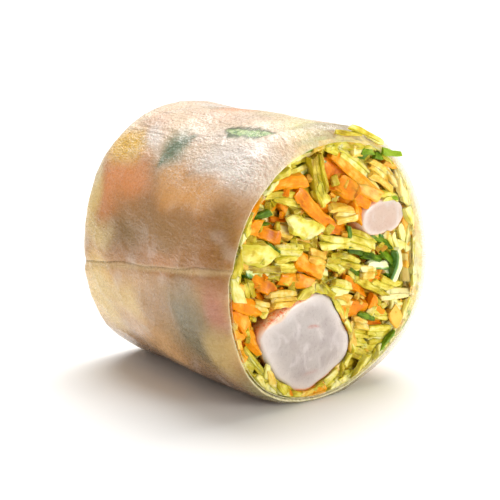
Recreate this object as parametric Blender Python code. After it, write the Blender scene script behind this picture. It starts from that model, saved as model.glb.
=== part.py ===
"""A rice paper roll, cut across at both ends and lying on its side.

The roll runs along X and the cut with the better view of the filling faces +X. Lengths are in
metres. Angles round the roll are in degrees, from +Y towards +Z.
"""

import math
import random

import bmesh
import bpy
from mathutils import Vector

# The roll
DIAMETER = 0.046
LENGTH = 0.0421
AXIS_HEIGHT = 0.022
GAP = 0.00034
SPARE = 0.00006

# The rice paper: one sheet in a spiral of a little over one and a half turns
PAPER_THICKNESS = 0.0005
PAPER_TURNS = 1.6
SEAM_ANGLE = 181.5
SEAM_SLANT = -380.0
EDGE_WIDTH = 0.002
MEAN_RADIUS = DIAMETER / 2 - 0.00015
SECTION_BUMPS = (
    (108.0, 26.0, 0.0006),
    (160.0, 24.0, -0.00045),
    (232.0, 26.0, 0.0011),
    (296.0, 20.0, -0.0004),
    (330.0, 28.0, 0.0010),
)
SOFT_RELIEF = 0.00018
PAPER_COLUMNS = 66
PAPER_STATIONS = 8

# The rims, curled in over the cuts
CURL_STEPS = 4
CURL_END = math.radians(62.0)
FRONT_CURL_DEPTH = 0.0024
FRONT_CURL_DEPTH_BUMPS = ((165.0, 85.0, 0.0040),)
FRONT_CURL = 0.0022
FRONT_CURL_BUMPS = (
    (350.0, 38.0, 0.0027),
    (122.0, 42.0, 0.0011),
)
BACK_CURL_DEPTH = 0.0018
BACK_CURL = 0.0014
BACK_LIP = 0.0014
BACK_LIP_BUMPS = ((92.0, 26.0, 1.0),)

# The filling
CUT_DEPTH = 0.0023
CORE_COLUMNS = 54
CORE_SPANS = 5
CORE_EDGES = (0.0008, 0.0022)
SHRED_WIDTH = 0.0024
SHRED_THICKNESS = 0.0019
SHRED_TAPER = 0.86
SHRED_HALF_LENGTHS = (0.0021, 0.0034)
SHRED_LIFTS = (-0.0002, 0.0009)
SHRED_LEAN = 165.0
SHRED_LEAN_RANGE = 30.0
SHRED_TILT_RANGE = 12.0
END_ON_SHARE = 0.45
END_ON_TILTS = (52.0, 78.0)
END_ON_HALF_LENGTH = 0.0023
END_ON_SINK = 0.0010
FRONT_SHREDS = 46
BACK_SHREDS = 54
SHRED_SPREAD = 0.0195
SHRED_SPACING = 0.0026
FITTING_TRIES = 7
FITTING_MOVE = 0.965
FITTING_CUT = 0.94
MERGE_DISTANCE = 0.000004
SEED = 11

# Shreds that stand out on the front cut: across and up from the roll's middle, lean, length, width
SHOWN_SHREDS = (
    (-0.0022, 0.0145, 108.0, 0.0072, 0.0026),
    (0.0043, 0.0146, 148.0, 0.0100, 0.0032),
    (0.0076, 0.0138, 142.0, 0.0095, 0.0020),
    (-0.0034, 0.0093, 126.0, 0.0092, 0.0026),
    (-0.0050, 0.0073, 165.0, 0.0068, 0.0036),
    (-0.0142, 0.0043, 170.0, 0.0058, 0.0038),
    (-0.0086, 0.0032, 174.0, 0.0050, 0.0027),
    (0.0015, 0.0030, 168.0, 0.0060, 0.0027),
    (0.0068, 0.0031, 160.0, 0.0050, 0.0024),
    (0.0026, 0.0088, 172.0, 0.0053, 0.0025),
    (-0.0094, -0.0038, 2.0, 0.0060, 0.0027),
    (-0.0158, -0.0052, 115.0, 0.0085, 0.0036),
    (-0.0130, -0.0150, 128.0, 0.0090, 0.0019),
    (0.0030, -0.0037, 155.0, 0.0050, 0.0025),
    (0.0084, -0.0045, 135.0, 0.0080, 0.0020),
    (0.0138, -0.0066, 170.0, 0.0062, 0.0020),
    (0.0142, -0.0020, 80.0, 0.0050, 0.0018),
    (0.0095, 0.0008, 165.0, 0.0090, 0.0022),
    (0.0118, -0.0120, 100.0, 0.0036, 0.0028),
)

# The shrimps, tail to head: the middle of each cut, across and up from the roll's middle
LARGE_SHRIMP_RADIUS = 0.00775
LARGE_SHRIMP_BUMPS = (
    (342.0, 22.0, 0.0019),
    (268.0, 26.0, 0.0005),
    (165.0, 25.0, 0.0021),
    (108.0, 18.0, -0.0005),
    (66.0, 18.0, 0.0006),
)
LARGE_SHRIMP_FRONT = (-0.0046, -0.0118)
LARGE_SHRIMP_BACK = (0.0020, -0.0090)
LARGE_SHRIMP_BACK_SCALE = 0.74
SMALL_SHRIMP_RADIUS = 0.0036
SMALL_SHRIMP_BUMPS = (
    (5.0, 40.0, 0.0009),
    (185.0, 40.0, 0.0012),
    (95.0, 40.0, -0.0007),
    (275.0, 40.0, -0.0009),
)
SMALL_SHRIMP_FRONT = (0.0119, 0.0068)
SMALL_SHRIMP_BACK = (0.0042, 0.0082)
SMALL_SHRIMP_BACK_SCALE = 1.8
SHRIMP_INSET = 0.0004
SHRIMP_EDGE = 0.0007
SHRIMP_SEGMENTS = 5
SHRIMP_RIPPLE = 0.00028
SHRIMP_COLUMNS = 28
SHRIMP_SPANS = 12
CHANNEL_GAP = GAP + 0.00012
CHANNEL_REACH = 0.003

# The herb leaves under the paper: along the roll, angle, heading, length and width
HERB_LEAVES = {
    "herb_leaf_front": (0.0103, 110.5, -8.0, 0.0116, 0.0046),
    "herb_leaf_back": (-0.0015, 129.0, 62.0, 0.0094, 0.0050),
}
LEAF_THICKNESS = 0.00042
LEAF_TIP = 0.00044
LEAF_BEND = 0.0007
LEAF_WAVE = 0.00028
LEAF_WAVES_ALONG = 1.2
LEAF_WAVES_ACROSS = 700.0
LEAF_SPANS = 10
LEAF_ROWS = 6
POCKET_MARGIN = 0.0006
POCKET_REACH = 0.0015


def swell(angle, bumps):
    """The sum of smooth bumps given as angle, width and height."""
    total = 0.0
    for middle, width, height in bumps:
        turn = (angle - middle + 180.0) % 360.0 - 180.0
        total += height * math.exp(-((turn / width) ** 2))
    return total


def seam_angle(x):
    """Where the sheet's free edge lies at a place along the roll."""
    return SEAM_ANGLE + SEAM_SLANT * x


def section_radius(angle, x):
    """The roll's uneven radius, where softly pushed and dented paper covers the filling."""
    turn = math.radians(angle)
    relief = math.sin(2.0 * turn + 260.0 * x) * math.cos(190.0 * x + 0.7)
    relief += 0.6 * math.sin(5.0 * turn - 310.0 * x + 1.1)
    return MEAN_RADIUS + swell(angle, SECTION_BUMPS) + SOFT_RELIEF * relief


def front_depth(angle):
    """How far behind the front rim the sheet starts to curl in, more on the side with the seam."""
    return FRONT_CURL_DEPTH + swell(angle, FRONT_CURL_DEPTH_BUMPS)


def place_along(station, depth):
    """A station's x where the front curl starts at a depth behind the rim."""
    x, curl, turn = station
    if curl < 0.0:
        return x
    if curl > 0.0:
        return LENGTH / 2 - depth * (1.0 - math.sin(turn) / math.sin(CURL_END))
    back = BACK_CURL_DEPTH - LENGTH / 2
    share = (x - back) / (LENGTH / 2 - FRONT_CURL_DEPTH - back)
    return back + share * (LENGTH / 2 - depth - back)


def paper_stations():
    """Stations from the back rim to the front one, as x, share of the inward curl and slope.

    Their x is for the shallowest curl at the front.
    """
    span = math.sin(CURL_END)
    drop = 1.0 - math.cos(CURL_END)
    back = BACK_CURL_DEPTH - LENGTH / 2
    front = LENGTH / 2 - FRONT_CURL_DEPTH
    turns = [CURL_END * step / CURL_STEPS for step in range(1, CURL_STEPS + 1)]
    stations = []
    for turn in reversed(turns):
        x = back - BACK_CURL_DEPTH * math.sin(turn) / span
        stations.append((x, -(1.0 - math.cos(turn)) / drop, turn))
    for step in range(PAPER_STATIONS):
        stations.append((back + (front - back) * step / (PAPER_STATIONS - 1), 0.0, 0.0))
    for turn in turns:
        x = front + FRONT_CURL_DEPTH * math.sin(turn) / span
        stations.append((x, (1.0 - math.cos(turn)) / drop, turn))
    return stations


def paper_point(share, station, inner):
    """A point of the sheet's outer or inner side, as x, radius and angle.

    share runs once round the roll, from 0 at the free edge on the outside. The back rim's curl is
    counted below zero.
    """
    x, curl, turn = station
    angle = seam_angle(x) + 360.0 * share
    reach = FRONT_CURL + swell(angle, FRONT_CURL_BUMPS)
    depth = front_depth(angle)
    x = place_along(station, depth)
    side = 1.0
    if curl < 0.0:
        reach = BACK_CURL
        depth = BACK_CURL_DEPTH
        side = -1.0
    radius = section_radius(angle, x) + PAPER_THICKNESS * (0.5 - share) - abs(curl) * reach
    dip = math.sin(math.radians(angle))
    if radius * dip < -AXIS_HEIGHT:
        radius = -AXIS_HEIGHT / dip
    if inner:
        layers = 2.0 if share < PAPER_TURNS - 1.0 else 1.0
        lean = Vector((reach * math.sin(turn) / (1.0 - math.cos(CURL_END)),
                       depth * math.cos(turn) / math.sin(CURL_END))).normalized()
        x -= side * lean.x * layers * PAPER_THICKNESS
        radius -= lean.y * layers * PAPER_THICKNESS
    if curl < 0.0:
        x += curl * BACK_LIP * swell(angle, BACK_LIP_BUMPS)
    return x, radius, angle


def place(x, radius, angle):
    """A point from its place along the roll, its radius and its angle."""
    turn = math.radians(angle)
    return Vector((x, radius * math.cos(turn), AXIS_HEIGHT + radius * math.sin(turn)))


def nearest_room(start, end, x):
    """The radius that keeps the gap from a stretch of the paper's section."""
    room = DIAMETER
    steps = 8
    for step in range(steps + 1):
        share = step / steps
        radius = start[1] + (end[1] - start[1]) * share
        away = start[0] + (end[0] - start[0]) * share - x
        if abs(away) < GAP:
            room = min(room, radius - math.sqrt(GAP * GAP - away * away))
    return room


def room_radius(angle, x):
    """How far out the filling may reach at a place while it stays clear of the paper."""
    line = []
    for station in paper_stations():
        share = ((angle - seam_angle(station[0])) / 360.0) % 1.0
        line.append(paper_point(share, station, True)[:2])
    rim = line[-1] if x > 0.0 else line[0]
    room = DIAMETER
    if abs(x) > abs(rim[0]) - GAP:
        room = rim[1] - GAP
    for start, end in zip(line, line[1:]):
        if min(start[0], end[0]) - GAP < x < max(start[0], end[0]) + GAP:
            room = min(room, nearest_room(start, end, x))
    return room


def new_object(name, mesh, material):
    """An object of one mesh and one material."""
    thing = bpy.data.objects.new(name, mesh)
    bpy.context.scene.collection.objects.link(thing)
    if material is not None:
        mesh.materials.append(material)
    return thing


def plain_material(name, colour, roughness):
    """A Principled material of one colour."""
    material = bpy.data.materials.new(name)
    material.use_nodes = True
    shader = material.node_tree.nodes["Principled BSDF"]
    shader.inputs["Base Color"].default_value = (*colour, 1.0)
    shader.inputs["Roughness"].default_value = roughness
    shader.inputs["Metallic"].default_value = 0.0
    return material


def mesh_from(name, points, faces):
    """A mesh from points and faces, triangulated and facing out."""
    mesh = bpy.data.meshes.new(name)
    mesh.from_pydata(points, [], faces)
    work = bmesh.new()
    work.from_mesh(mesh)
    bmesh.ops.triangulate(work, faces=work.faces[:])
    bmesh.ops.recalc_face_normals(work, faces=work.faces[:])
    work.to_mesh(mesh)
    work.free()
    return mesh


def ring_faces(first, second, count):
    """Four-sided faces between two closed rings of points."""
    faces = []
    for column in range(count):
        following = (column + 1) % count
        faces.append((first + column, first + following, second + following, second + column))
    return faces


def paper_shares():
    """Columns round the roll, with a narrow one at each edge of the sheet."""
    edge = PAPER_TURNS - 1.0
    shares = [column / PAPER_COLUMNS for column in range(PAPER_COLUMNS)]
    shares = [share for share in shares if abs(share - edge) > EDGE_WIDTH]
    return sorted(shares + [edge - EDGE_WIDTH, edge, 1.0 - EDGE_WIDTH])


def rice_paper():
    """The sheet as one closed solid: outer side, inner side and both rims."""
    shares = paper_shares()
    count = len(shares)
    stations = paper_stations()
    loops = [(station, False) for station in stations]
    loops += [(station, True) for station in reversed(stations)]
    points = []
    faces = []
    for loop, (station, inner) in enumerate(loops):
        points += [place(*paper_point(share, station, inner)) for share in shares]
        following = (loop + 1) % len(loops)
        faces += ring_faces(loop * count, following * count, count)
    material = plain_material("rice_paper", (0.72, 0.55, 0.40), 0.35)
    new_object("rice_paper", mesh_from("rice_paper", points, faces), material)


def shrimp_stations(gap):
    """Stations along a shrimp as x and the rounding of its cut edge."""
    half = LENGTH / 2 - SHRIMP_INSET
    stations = [(half * (2.0 * step / SHRIMP_SPANS - 1.0), 0.0) for step in range(1, SHRIMP_SPANS)]
    if gap:
        ends = [(half + CHANNEL_REACH, 0.0)]
    else:
        ends = [(half - SHRIMP_EDGE, 0.0), (half, SHRIMP_EDGE)]
    mirrored = [(-x, rounding) for x, rounding in reversed(ends)]
    return mirrored + stations + ends


def shrimp_mesh(name, sizes, ends, gap):
    """A shrimp that runs from cut to cut, with a ripple for each of its segments.

    sizes holds its radius and bumps, ends the middle of both cuts and the back's scale. With a gap
    it is the channel round the shrimp, open past both cuts.
    """
    radius, bumps = sizes
    front, back, back_scale = ends
    points = []
    stations = shrimp_stations(gap)
    for x, rounding in stations:
        share = min(max(0.5 - x / LENGTH, 0.0), 1.0)
        scale = 1.0 + (back_scale - 1.0) * share
        across = front[0] + (back[0] - front[0]) * share
        up = front[1] + (back[1] - front[1]) * share
        ripple = SHRIMP_RIPPLE * math.sin(2.0 * math.pi * SHRIMP_SEGMENTS * share)
        for column in range(SHRIMP_COLUMNS):
            angle = 360.0 * column / SHRIMP_COLUMNS
            reach = (radius + swell(angle, bumps)) * scale + ripple - rounding + gap
            y = across + reach * math.cos(math.radians(angle))
            z = up + reach * math.sin(math.radians(angle))
            shrink = 1.0
            if not gap:
                room = room_radius(math.degrees(math.atan2(z, y)), x) - SPARE
                shrink = min(1.0, room / math.hypot(y, z))
            points.append(Vector((x, y * shrink, AXIS_HEIGHT + z * shrink)))
    faces = []
    for ring in range(len(stations) - 1):
        faces += ring_faces(ring * SHRIMP_COLUMNS, (ring + 1) * SHRIMP_COLUMNS, SHRIMP_COLUMNS)
    for base in (0, (len(stations) - 1) * SHRIMP_COLUMNS):
        rim = points[base:base + SHRIMP_COLUMNS]
        points.append(sum(rim, Vector()) / SHRIMP_COLUMNS)
        for column in range(SHRIMP_COLUMNS):
            following = (column + 1) % SHRIMP_COLUMNS
            faces.append((base + column, base + following, len(points) - 1))
    return mesh_from(name, points, faces)


def shrimps():
    """Both shrimps, and the channel that each takes in the filling."""
    kinds = {
        "shrimp_large": ((LARGE_SHRIMP_RADIUS, LARGE_SHRIMP_BUMPS),
                         (LARGE_SHRIMP_FRONT, LARGE_SHRIMP_BACK, LARGE_SHRIMP_BACK_SCALE)),
        "shrimp_small": ((SMALL_SHRIMP_RADIUS, SMALL_SHRIMP_BUMPS),
                         (SMALL_SHRIMP_FRONT, SMALL_SHRIMP_BACK, SMALL_SHRIMP_BACK_SCALE)),
    }
    material = plain_material("shrimp", (0.72, 0.62, 0.60), 0.35)
    channels = []
    for name, (sizes, ends) in kinds.items():
        new_object(name, shrimp_mesh(name, sizes, ends, 0.0), material)
        channel = name + "_channel"
        channels.append(new_object(channel, shrimp_mesh(channel, sizes, ends, CHANNEL_GAP), None))
    return channels


def leaf_depth(share, across, side):
    """How far below the filling's outside a leaf's upper or lower face lies."""
    wave = 0.5 + 0.5 * math.sin(2.0 * math.pi * LEAF_WAVES_ALONG * share + LEAF_WAVES_ACROSS * across)
    return SPARE + LEAF_WAVE * wave + side * LEAF_THICKNESS


def pocket_depth(side):
    """How far below the filling's outside the top or bottom of a leaf's pocket lies."""
    if side:
        return 2.0 * SPARE + LEAF_WAVE + LEAF_THICKNESS + GAP
    return -POCKET_REACH


def leaf_mesh(name, sizes, margin):
    """A pointed wavy leaf close under the paper, or with a margin the pocket that it lies in."""
    along, angle, heading, length, width = sizes
    turn = math.radians(heading)
    points = []
    for side in (0, 1):
        for span in range(LEAF_SPANS + 1):
            share = span / LEAF_SPANS
            bulge = max(math.sin(math.pi * share), 0.0)
            half = width / 2 * bulge ** 0.75 + LEAF_TIP / 2 + margin
            run = (share - 0.5) * (length + 2.0 * margin)
            for row in range(LEAF_ROWS + 1):
                across = (2.0 * row / LEAF_ROWS - 1.0) * half
                bent = across + LEAF_BEND * bulge
                x = along + run * math.cos(turn) - bent * math.sin(turn)
                arc = run * math.sin(turn) + bent * math.cos(turn)
                spot_angle = angle + math.degrees(arc / MEAN_RADIUS)
                depth = pocket_depth(side) if margin else leaf_depth(share, across, side)
                points.append(place(x, room_radius(spot_angle, x) - depth, spot_angle))
    return mesh_from(name, points, leaf_faces())


def leaf_faces():
    """Both faces of a leaf, split alike, and the edge between them."""
    width = LEAF_ROWS + 1
    sheet = width * (LEAF_SPANS + 1)
    faces = []
    for span in range(LEAF_SPANS):
        for row in range(LEAF_ROWS):
            corner = span * width + row
            for base in (corner, corner + sheet):
                faces.append((base, base + 1, base + width + 1))
                faces.append((base, base + width + 1, base + width))
    edge = list(range(width))
    edge += [span * width + LEAF_ROWS for span in range(1, LEAF_SPANS + 1)]
    edge += [LEAF_SPANS * width + row for row in range(LEAF_ROWS - 1, -1, -1)]
    edge += [span * width for span in range(LEAF_SPANS - 1, 0, -1)]
    for start, end in zip(edge, edge[1:] + edge[:1]):
        faces.append((start, end, sheet + end, sheet + start))
    return faces


def herb_leaves():
    """The herb leaves, and the pockets that they lie in."""
    material = plain_material("herb", (0.10, 0.22, 0.06), 0.5)
    pockets = []
    for name, sizes in HERB_LEAVES.items():
        new_object(name, leaf_mesh(name, sizes, 0.0), material)
        pocket = name + "_pocket"
        pockets.append(new_object(pocket, leaf_mesh(pocket, sizes, POCKET_MARGIN), None))
    return pockets


def core_radius(angle, x):
    """The core's radius, clear of the paper over the width of one facet."""
    step = 180.0 / CORE_COLUMNS
    return min(room_radius(angle + turn, x) for turn in (-step, 0.0, step)) - SPARE


def filling_core():
    """The packed middle of the shredded filling, a little short of both cuts."""
    half = LENGTH / 2 - CUT_DEPTH
    middle = half - CORE_EDGES[-1]
    stations = [middle * (2.0 * step / CORE_SPANS - 1.0) for step in range(1, CORE_SPANS)]
    ends = [middle, half - CORE_EDGES[0], half]
    stations = [-x for x in reversed(ends)] + stations + ends
    points = []
    for x in stations:
        for column in range(CORE_COLUMNS):
            angle = 360.0 * (column + 0.5) / CORE_COLUMNS
            points.append(place(x, core_radius(angle, x), angle))
    faces = []
    for ring in range(len(stations) - 1):
        faces += ring_faces(ring * CORE_COLUMNS, (ring + 1) * CORE_COLUMNS, CORE_COLUMNS)
    last = (len(stations) - 1) * CORE_COLUMNS
    faces.append(tuple(range(CORE_COLUMNS)))
    faces.append(tuple(range(last, last + CORE_COLUMNS)))
    material = plain_material("shredded_filling", (0.66, 0.52, 0.12), 0.45)
    return new_object("shredded_filling", mesh_from("shredded_filling", points, faces), material)


def shred_corners(middle, run, lean, tilt, sizes):
    """The eight corners of a shred: run is its half length, sizes its width and thickness."""
    turn = math.radians(lean)
    pitch = math.radians(tilt)
    along = Vector((math.sin(pitch), math.cos(turn) * math.cos(pitch), math.sin(turn) * math.cos(pitch)))
    across = Vector((0.0, -math.sin(turn), math.cos(turn)))
    out = along.cross(across)
    corners = []
    for end, taper in ((-run, SHRED_TAPER), (run, 1.0)):
        for side, face in ((-0.5, -0.5), (0.5, -0.5), (0.5, 0.5), (-0.5, 0.5)):
            offset = across * side * sizes[0] + out * face * sizes[1]
            corners.append(middle + along * end + offset * taper)
    return corners


def fits(corners):
    """Whether a shred stays clear of the paper."""
    for corner in corners:
        angle = math.degrees(math.atan2(corner.z, corner.y))
        if math.hypot(corner.y, corner.z) > room_radius(angle, corner.x) - 2.0 * SPARE:
            return False
    return True


def add_shred(collection, middle, run, lean, tilt, sizes):
    """A shred moved in and shortened until it fits inside the rim, or left out."""
    for _ in range(FITTING_TRIES):
        corners = shred_corners(middle, run, lean, tilt, sizes)
        if fits(corners):
            faces = [(0, 1, 2, 3), (7, 6, 5, 4), (0, 4, 5, 1), (1, 5, 6, 2), (2, 6, 7, 3), (3, 7, 4, 0)]
            lifted = [corner + Vector((0.0, 0.0, AXIS_HEIGHT)) for corner in corners]
            shred = bpy.data.objects.new("shred", mesh_from("shred", lifted, faces))
            collection.objects.link(shred)
            return True
        middle = Vector((middle.x, middle.y * FITTING_MOVE, middle.z * FITTING_MOVE))
        run *= FITTING_CUT
    return False


def shown_shreds(collection, chance):
    """The shreds that stand out on the front cut."""
    for across, up, lean, length, width in SHOWN_SHREDS:
        middle = Vector((LENGTH / 2 - CUT_DEPTH + chance.uniform(*SHRED_LIFTS), across, up))
        tilt = 0.5 * chance.uniform(-SHRED_TILT_RANGE, SHRED_TILT_RANGE)
        add_shred(collection, middle, length / 2, lean, tilt, (width, SHRED_THICKNESS))


def scattered_shreds(collection, chance, side, count, taken):
    """Shreds spread evenly over a cut, some lying in it and some end on."""
    placed = 0
    for _ in range(40 * count):
        if placed == count:
            return
        away = SHRED_SPREAD * math.sqrt(chance.random())
        turn = chance.uniform(0.0, 2.0 * math.pi)
        spot = Vector((0.0, away * math.cos(turn), away * math.sin(turn)))
        if any((spot - other).length < SHRED_SPACING for other in taken):
            continue
        taken.append(spot)
        middle = spot + Vector((side * (LENGTH / 2 - CUT_DEPTH + chance.uniform(*SHRED_LIFTS)), 0.0, 0.0))
        sizes = (SHRED_WIDTH * chance.uniform(0.8, 1.2), SHRED_THICKNESS * chance.uniform(0.8, 1.1))
        run = chance.uniform(*SHRED_HALF_LENGTHS)
        lean = SHRED_LEAN + chance.uniform(-SHRED_LEAN_RANGE, SHRED_LEAN_RANGE)
        tilt = chance.uniform(-SHRED_TILT_RANGE, SHRED_TILT_RANGE)
        if chance.random() < END_ON_SHARE:
            middle.x -= side * END_ON_SINK
            run = END_ON_HALF_LENGTH
            tilt = side * chance.uniform(*END_ON_TILTS)
        if add_shred(collection, middle, run, lean, tilt, sizes):
            placed += 1


def apply_boolean(thing, operation, collection):
    """One Boolean with all of a collection, applied, with the collection's objects removed."""
    step = thing.modifiers.new(operation.lower(), "BOOLEAN")
    step.operation = operation
    step.solver = "EXACT"
    step.operand_type = "COLLECTION"
    step.collection = collection
    bpy.context.view_layer.update()
    evaluated = thing.evaluated_get(bpy.context.evaluated_depsgraph_get())
    result = bpy.data.meshes.new_from_object(evaluated)
    thing.modifiers.clear()
    thing.data = result
    for other in list(collection.objects):
        bpy.data.objects.remove(other, do_unlink=True)
    bpy.data.collections.remove(collection)


def bodies_of(work):
    """The separate bodies of a mesh as sets of faces, the largest first."""
    waiting = set(work.faces)
    bodies = []
    while waiting:
        reached = [waiting.pop()]
        body = set(reached)
        while reached:
            for edge in reached.pop().edges:
                others = edge.link_faces if len(edge.link_faces) == 2 else ()
                for other in others:
                    if other in waiting:
                        waiting.discard(other)
                        body.add(other)
                        reached.append(other)
        bodies.append(body)
    return sorted(bodies, key=len, reverse=True)


def keep_main_body(thing):
    """Leave the largest closed body, without loose scraps and sealed hollows."""
    work = bmesh.new()
    work.from_mesh(thing.data)
    for body in bodies_of(work)[1:]:
        bmesh.ops.delete(work, geom=list(body), context="FACES")
    bmesh.ops.remove_doubles(work, verts=work.verts[:], dist=MERGE_DISTANCE)
    bmesh.ops.dissolve_degenerate(work, edges=work.edges[:], dist=MERGE_DISTANCE)
    bmesh.ops.triangulate(work, faces=work.faces[:])
    for body in bodies_of(work)[1:]:
        bmesh.ops.delete(work, geom=list(body), context="FACES")
    work.to_mesh(thing.data)
    work.free()


def shredded_filling(hollows):
    """The shredded carrot, courgette, cucumber and herbs as one heap, round its neighbours."""
    chance = random.Random(SEED)
    filling = filling_core()
    shreds = bpy.data.collections.new("shreds")
    bpy.context.scene.collection.children.link(shreds)
    shown_shreds(shreds, chance)
    shown = [Vector((0.0, across, up)) for across, up, _, _, _ in SHOWN_SHREDS]
    scattered_shreds(shreds, chance, 1.0, FRONT_SHREDS, shown)
    scattered_shreds(shreds, chance, -1.0, BACK_SHREDS, [])
    apply_boolean(filling, "UNION", shreds)
    keep_main_body(filling)
    cutters = bpy.data.collections.new("hollows")
    bpy.context.scene.collection.children.link(cutters)
    for hollow in hollows:
        bpy.context.scene.collection.objects.unlink(hollow)
        cutters.objects.link(hollow)
    apply_boolean(filling, "DIFFERENCE", cutters)
    keep_main_body(filling)


def stand_at_origin():
    """Move everything so that the middle of the box's bottom is at the origin."""
    things = [thing for thing in bpy.data.objects if thing.type == "MESH"]
    spots = [vertex.co for thing in things for vertex in thing.data.vertices]
    low = Vector([min(spot[axis] for spot in spots) for axis in range(3)])
    high = Vector([max(spot[axis] for spot in spots) for axis in range(3)])
    shift = Vector((-(low.x + high.x) / 2, -(low.y + high.y) / 2, -low.z))
    for thing in things:
        for vertex in thing.data.vertices:
            vertex.co += shift


def smooth_round_pieces():
    """Smooth shading on the round pieces, with their cut edges kept sharp."""
    for thing in bpy.data.objects:
        if thing.type == "MESH" and thing.name != "shredded_filling":
            thing.data.shade_smooth()
            thing.data.set_sharp_from_angle(angle=math.radians(50.0))


def build():
    """The whole roll."""
    for thing in list(bpy.data.objects):
        bpy.data.objects.remove(thing, do_unlink=True)
    rice_paper()
    hollows = shrimps() + herb_leaves()
    shredded_filling(hollows)
    stand_at_origin()
    smooth_round_pieces()


build()
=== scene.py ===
"""The look of a rice paper roll: one cut piece lying on its side on a pale floor.

The roll runs along X. Lengths are in metres, but in millimetres in the tables of shreds and patches.
Angles round the roll are in degrees, from +Y towards +Z.
"""

import math
import random

import bpy
import numpy as np
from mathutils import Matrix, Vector


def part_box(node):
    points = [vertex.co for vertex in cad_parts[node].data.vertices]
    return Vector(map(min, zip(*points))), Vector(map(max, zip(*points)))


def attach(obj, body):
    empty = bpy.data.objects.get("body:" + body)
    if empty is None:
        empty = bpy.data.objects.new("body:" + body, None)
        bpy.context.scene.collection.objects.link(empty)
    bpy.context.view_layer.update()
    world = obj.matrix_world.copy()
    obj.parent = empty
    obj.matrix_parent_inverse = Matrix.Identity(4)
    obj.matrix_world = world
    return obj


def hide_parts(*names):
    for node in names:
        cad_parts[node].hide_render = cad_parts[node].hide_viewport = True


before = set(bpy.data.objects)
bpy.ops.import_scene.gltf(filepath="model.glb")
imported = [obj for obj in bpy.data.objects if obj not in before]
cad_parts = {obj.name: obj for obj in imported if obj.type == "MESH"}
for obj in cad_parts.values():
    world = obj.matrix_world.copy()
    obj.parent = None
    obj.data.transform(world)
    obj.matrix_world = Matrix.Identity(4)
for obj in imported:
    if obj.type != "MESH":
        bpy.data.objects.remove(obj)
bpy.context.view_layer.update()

MM = 0.001

# The roll, as in the solids
DIAMETER = 0.046
LENGTH = 0.0421
AXIS_HEIGHT = 0.022
AXIS_ACROSS = -0.000177
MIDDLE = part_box("rice_paper")[1][0] - LENGTH / 2
THICKNESS = 0.0005
TURNS = 1.6
SEAM_ANGLE = 181.5
SEAM_SLANT = -380.0
MEAN_RADIUS = DIAMETER / 2 - 0.00015
SECTION_BUMPS = (
    (108.0, 26.0, 0.0006),
    (160.0, 24.0, -0.00045),
    (232.0, 26.0, 0.0011),
    (296.0, 20.0, -0.0004),
    (330.0, 28.0, 0.0010),
)
SOFT_RELIEF = 0.00018
CURL_END = math.radians(62.0)
FRONT_DEPTH = 0.0024
FRONT_DEPTH_BUMPS = ((165.0, 85.0, 0.0040),)
FRONT_CURL = 0.0022
BACK_DEPTH = 0.0018
BACK_CURL = 0.0014
BACK_LIP = 0.0014
BACK_LIP_BUMPS = ((92.0, 26.0, 1.0),)

# The look's own changes: a fuller right side, another curl, a seam that thins out and wavers, a
# film that is thinner at the rim where the sheet is single, and fine folds
LOOK_BUMPS = ((334.0, 26.0, 0.0006), (54.0, 20.0, 0.0006), (140.0, 22.0, 0.0002))
FRONT_BUMPS = ((350.0, 38.0, 0.0025), (122.0, 42.0, 0.0011), (250.0, 38.0, -0.0011))
EDGE_SHARE = 0.010
EDGE_FALL = 0.96
EDGE_FILM = 0.2
SEAM_WAVES = ((0.9, 170.0, 0.0), (0.35, 480.0, 1.0))
LEAST_DIP = 0.05
FILM = 0.00052
RIM_THIN = 0.62
SINGLE_LAYER = (0.56, 0.66)
FOLD_HEIGHT = 0.000055
RIDGE_HEIGHT = 0.00009
RIDGE_SHARPNESS = 3.0
PAPER_STEP = 1.0 / 300
CURL_STEPS = 9
NEAR_RIM = 0.975
FLAT_STEPS = 84

# The shrimps, as in the solids: radius, bumps, front and back middle, back scale
SHRIMPS = {
    "shrimp_large": (0.00775, ((342.0, 22.0, 0.0019), (268.0, 26.0, 0.0005), (165.0, 25.0, 0.0021),
                               (108.0, 18.0, -0.0005), (66.0, 18.0, 0.0006)),
                     (-0.0046, -0.0118), (0.0020, -0.0090), 0.74),
    "shrimp_small": (0.0036, ((5.0, 40.0, 0.0009), (185.0, 40.0, 0.0012), (95.0, 40.0, -0.0007),
                              (275.0, 40.0, -0.0009)),
                     (0.0119, 0.0068), (0.0042, 0.0082), 1.8),
}
SHRIMP_INSET = 0.0004
SHRIMP_RIPPLE = 0.00028
SHRIMP_SEGMENTS = 5

# The shrimps' finer sizes: the cut's rounded edge, waves round it and over it, the skin along the
# side, and the vein, which only a large enough cut has
SHRIMP_EDGE = 0.00045
SHRIMP_WAVES = ((0.016, 7.0, 1.0), (0.010, 13.0, 2.0))
SIDE_SKIN = 0.75
CUT_WAVE = 0.00008
VEIN_HOLLOW = 0.00022
LEAST_VEINED = 0.0055

# The leaves under the paper, as in the solids: along, angle, heading, length, width
LEAVES = {
    "herb_leaf_front": (0.0103, 110.5, -8.0, 0.0116, 0.0046),
    "herb_leaf_back": (-0.0015, 129.0, 62.0, 0.0094, 0.0050),
}

# The blades' finer sizes
LEAF_TIP = 0.00022
LEAF_BEND = 0.0007
LEAF_GAP = 0.00003
LEAF_WAVE = 0.0001
LEAF_THICKNESS = 0.00036

# The film clings to a leaf, and is clear over it a little further round, as it is seen at a slant
CLING = 0.2
CLING_MARGIN = 0.0006
LEAF_GLIMPSE = 0.5
LEAF_SEEN = 0.70
LEAF_BLUR_WAVE = 0.16

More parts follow.
